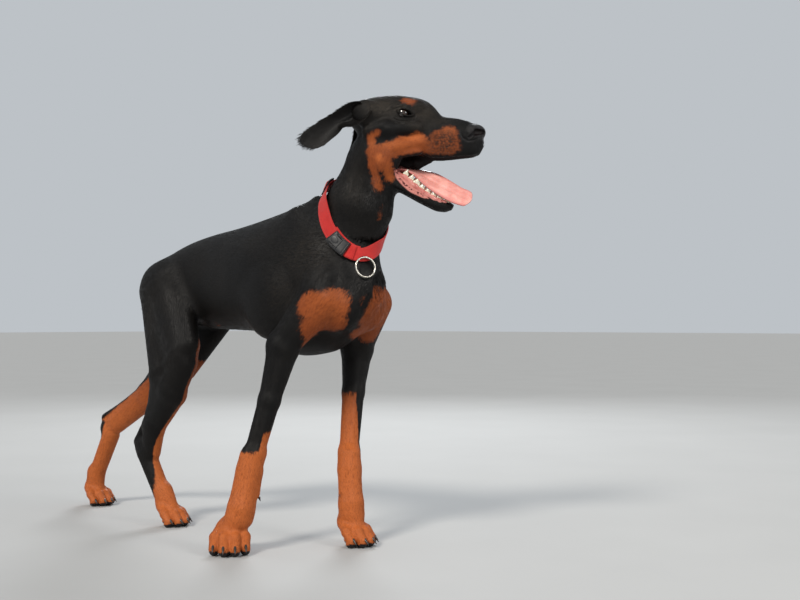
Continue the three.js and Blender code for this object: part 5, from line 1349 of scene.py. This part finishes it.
# --- whiskers
whiskers = []
for s in (-1, 1):
    spots = [(126 + 11 * i + 3 * (j % 2), -44 - 8.5 * j) for j in range(4) for i in range(4)]
    spots += [(86, -62), (60, -70), (80, 20), (88, 18)]
    roots = on_side(s, [(a + rng.uniform(-2, 2), z + rng.uniform(-2, 2)) for a, z in spots])
    for at, (a, z) in zip(roots, spots):
        size = rng.uniform(13, 24) if a > 100 else rng.uniform(9, 15)
        way = HEAD.turn(unit([-0.55 + rng.normal(0, 0.12), s * 0.75, rng.normal(-0.12, 0.14)]))
        drop = HEAD.turn([-0.5, 0, -0.35])
        whiskers.append(revolve([(at + way * (size * g - 1) + drop * size * 0.35 * g * g,
                                  HEAD.turn([1, 0, 0]) * w, HEAD.turn([0, 0, 1]) * w)
                                 for g, w in ((g, 0.20 * (1 - 0.8 * g)) for g in np.linspace(0, 1, 7))], 5))
put_heap("whiskers", whiskers, mottled("bristle", (200.0, 2.0), ((0.006, 0.005, 0.005), (0.03, 0.025, 0.02)),
                                       Roughness=0.35))


# --- the coat
COLLAR_BARE = 1.5
PIECE_TUFTS = 30000
# where the coat stands a little off the body: centres, radii and strength
ROUGH_EDGES = [(398, 5, 640, 30, 40, 50, 1), (392, 0, 440, 40, 60, 60, 1), (20, 0, 396, 190, 34, 22, 1),
               (-216, -40, 400, 28, 30, 80, 1), (-262, 36, 380, 30, 30, 90, 1), (-240, 0, 470, 40, 30, 30, 1),
               (222, -96, 372, 24, 22, 40, 1), (236, 96, 366, 24, 22, 40, 1)]


def rough_edge(p):
    """How far the coat is ragged: throat, chest, belly, backs of the thighs, tail and elbows."""
    return blobs(p, ROUGH_EDGES)


def hair_size(p):
    """Length of the coat in mm by place."""
    h = HEAD.local(p)
    on_head = (p[:, 2] > 640) & (h[:, 0] > -20)
    head = 5.2 - 2.6 * np.clip((h[:, 0] - 60) / 70, 0, 1)
    leg = np.clip((330 - p[:, 2]) / 150, 0, 1)
    rest = 9.5 - 3.2 * leg - 2.4 * np.clip((70 - p[:, 2]) / 50, 0, 1)
    size = np.where(on_head, head, rest * (1 + 0.55 * rough_edge(p)))
    ear = np.abs(np.abs(h[:, 1]) - 55) < 24
    return np.where(on_head & ear & (h[:, 0] < 12), 3.4, size)


def skin_points(count):
    """Roots spread over the skin, denser where the hair is small, and left out on bare places."""
    v, t = skin_v, skin_t
    mid = v[t].mean(1)
    area = np.linalg.norm(np.cross(v[t[:, 1]] - v[t[:, 0]], v[t[:, 2]] - v[t[:, 0]]), axis=1) / 2
    bare = np.maximum(np.maximum(skin_attrs["leather"], skin_attrs["lip"]), np.clip(depth - 1.9, 0, 1))[t].max(1)
    under = np.abs((mid - NECK_CUT) @ NECK_AXIS) < COLLAR_BARE
    weight = area / hair_size(mid)**1.35 * (bare < 0.5) * ~under
    pick = rng.choice(len(t), count, p=weight / weight.sum())
    a, b = rng.random(count), rng.random(count)
    flip = a + b > 1
    a, b = np.where(flip, 1 - a, a), np.where(flip, 1 - b, b)
    w = np.stack([1 - a - b, a, b], 1)[:, :, None]
    return (v[t[pick]] * w).sum(1), unit((skin_n[t[pick]] * w).sum(1)), pick


root, nrm, face = skin_points(TUFTS)
on_ear = face >= len(skin_t) - EAR_TRIS
length = hair_size(root) * rng.uniform(0.75, 1.25, len(root))
flow = lie(root, nrm)
swing = rng.normal(0, 0.16, len(root))[:, None]
flow = unit(flow + np.cross(nrm, flow) * swing)
cross = np.cross(nrm, flow)


def lifted(p, height):
    """Points set at a height over the skin; those of the ears keep their level, as the field leaves ears out."""
    f = in_blocks(body, p) + COAT_DEPTH
    f[on_ear] = 0
    return p - nrm * np.clip(f, -3, 3)[:, None] + nrm * height[:, None]


# a tuft is a flat spindle of five points: its root, two sides and a ridge at its middle, and its tip
wide = length * rng.uniform(0.034, 0.052, len(root)) + 0.08
loose = rough_edge(root)
mid = lifted(root + flow * (length * 0.42)[:, None], 0.12 + 0.3 * loose)
tip = lifted(root + flow * length[:, None], rng.uniform(0.1, 0.4, len(root)) + loose * rng.uniform(0.2, 1.8, len(root)))
pts = np.stack([root - nrm * 0.5, mid + cross * wide[:, None], mid - cross * wide[:, None],
                mid + nrm * (0.05 + 0.011 * length)[:, None], tip], 1)
TUFT_FACES = np.array([(0, 3, 1), (0, 2, 3), (0, 1, 2), (4, 1, 3), (4, 3, 2), (4, 2, 1)])
TUFT_PATCH = np.array([(0, -1), (-1, 0), (1, 0), (0, 0.3), (0, 1)]) * 0.0015
TRUNK = 2
marks = places(root, nrm)
marks["rand"] = rng.random(len(root))


def unwrapped(p):
    """A place on a flat unwrap of the skin: a tile for each bone, along it and round it, the trunk's the largest."""
    best, out = np.full(len(p), 1e9), np.zeros((len(p), 2))
    for i, (a, b, r, w) in enumerate(BONES):
        a, b = np.array(a, float), np.array(b, float)
        axis, long = unit(b - a), np.linalg.norm(b - a)
        q = p - a
        t = q @ axis
        far = np.linalg.norm(q - np.clip(t, 0, long)[:, None] * axis, axis=1) - r
        side = unit(np.cross(axis, [0.02, 0.05, 1.0]))
        turn = np.arctan2(q @ side, q @ np.cross(axis, side)) / (2 * math.pi) + 0.5
        along = np.clip((t + r) / (long + 2 * r), 0, 1)
        if i == TRUNK:
            tile = np.stack([0.01 + 0.98 * along, 0.61 + 0.38 * turn], 1)
        else:
            n = i - (i > TRUNK)
            tile = np.stack([(n % 7 + 0.04 + 0.92 * along) / 7, (n // 7 + 0.04 + 0.92 * turn) * 0.15], 1)
        near = far < best
        out[near], best[near] = tile[near], far[near]
    return out


bake_at = unwrapped(root)
for i in range(0, len(root), PIECE_TUFTS):
    j = slice(i, min(i + PIECE_TUFTS, len(root)))
    faces = (TUFT_FACES[None] + 5 * np.arange(j.stop - j.start)[:, None, None]).reshape(-1, 3)
    attrs = {key: np.repeat(marks[key][j], 5) for key in ("tan", "dusk", "painted_sheen", "painted_highlight", "rand")}
    ob = put("coat_%02d" % (i // PIECE_TUFTS), pts[j].reshape(-1, 3), faces, COAT_HAIR, smooth=False, attrs=attrs)
    patch = (bake_at[j][:, None] + TUFT_PATCH)[:, TUFT_FACES].reshape(-1, 2)
    ob.data.uv_layers.new(name="OFBake").data.foreach_set("uv", patch.astype(np.float32).ravel())

# --- floor, light, camera
FLOOR_REACH = 40
LOOK_AT = Vector((0.1, 0, 0.45))
SUN_ANGLE = 14
CAMERA_AT = [1806.5, -1616.6, 409.0]
CAMERA_TILT, CAMERA_TURN = 91.05, 40
LENS, SENSOR = 54.0, 36.0
me = bpy.data.meshes.new("floor")
corners = [(x * FLOOR_REACH, y * FLOOR_REACH, 0) for x, y in ((-1, -1), (1, -1), (1, 1), (-1, 1))]
me.from_pydata(corners, [], [(0, 1, 2, 3)])
me.materials.append(mottled("floor", (3.0, 3.0), ((0.40, 0.40, 0.395), (0.44, 0.44, 0.435)), Roughness=0.75))
floor = bpy.data.objects.new("floor", me)
bpy.context.collection.objects.link(floor)

world = bpy.data.worlds.new("studio")
bpy.context.scene.world = world
world.use_nodes = True
sky = world.node_tree.nodes["Background"].inputs
sky["Color"].default_value, sky["Strength"].default_value = (0.82, 0.87, 0.92, 1), 0.62
bpy.context.scene.view_settings.view_transform = "Standard"


def light(name, kind, at, power, colour, size=None):
    """A sun, or a round soft lamp of a size in metres, turned to the model."""
    data = bpy.data.lights.new(name, kind)
    data.energy, data.color = power, colour
    if kind == "SUN":
        data.angle = math.radians(SUN_ANGLE)
    else:
        data.shape, data.size = "DISK", size
    ob = bpy.data.objects.new(name, data)
    ob.location = at
    ob.rotation_euler = (LOOK_AT - Vector(at)).to_track_quat("-Z", "Y").to_euler()
    bpy.context.collection.objects.link(ob)


light("key", "SUN", (0.5, -3.0, 3.0), 2.3, (1, 0.95, 0.87))
light("front", "AREA", (3.2, 0.2, 1.8), 35, (1, 0.97, 0.93), 1.2)
light("rim", "AREA", (-1.8, 2.6, 2.4), 60, (0.92, 0.96, 1), 1.2)

cam = bpy.data.cameras.new("camera")
cam.lens, cam.sensor_width = LENS, SENSOR
camera = bpy.data.objects.new("camera", cam)
camera.location = Vector(to_scene(CAMERA_AT))
camera.rotation_euler = (math.radians(CAMERA_TILT), 0, math.radians(CAMERA_TURN))
bpy.context.collection.objects.link(camera)
bpy.context.scene.camera = camera
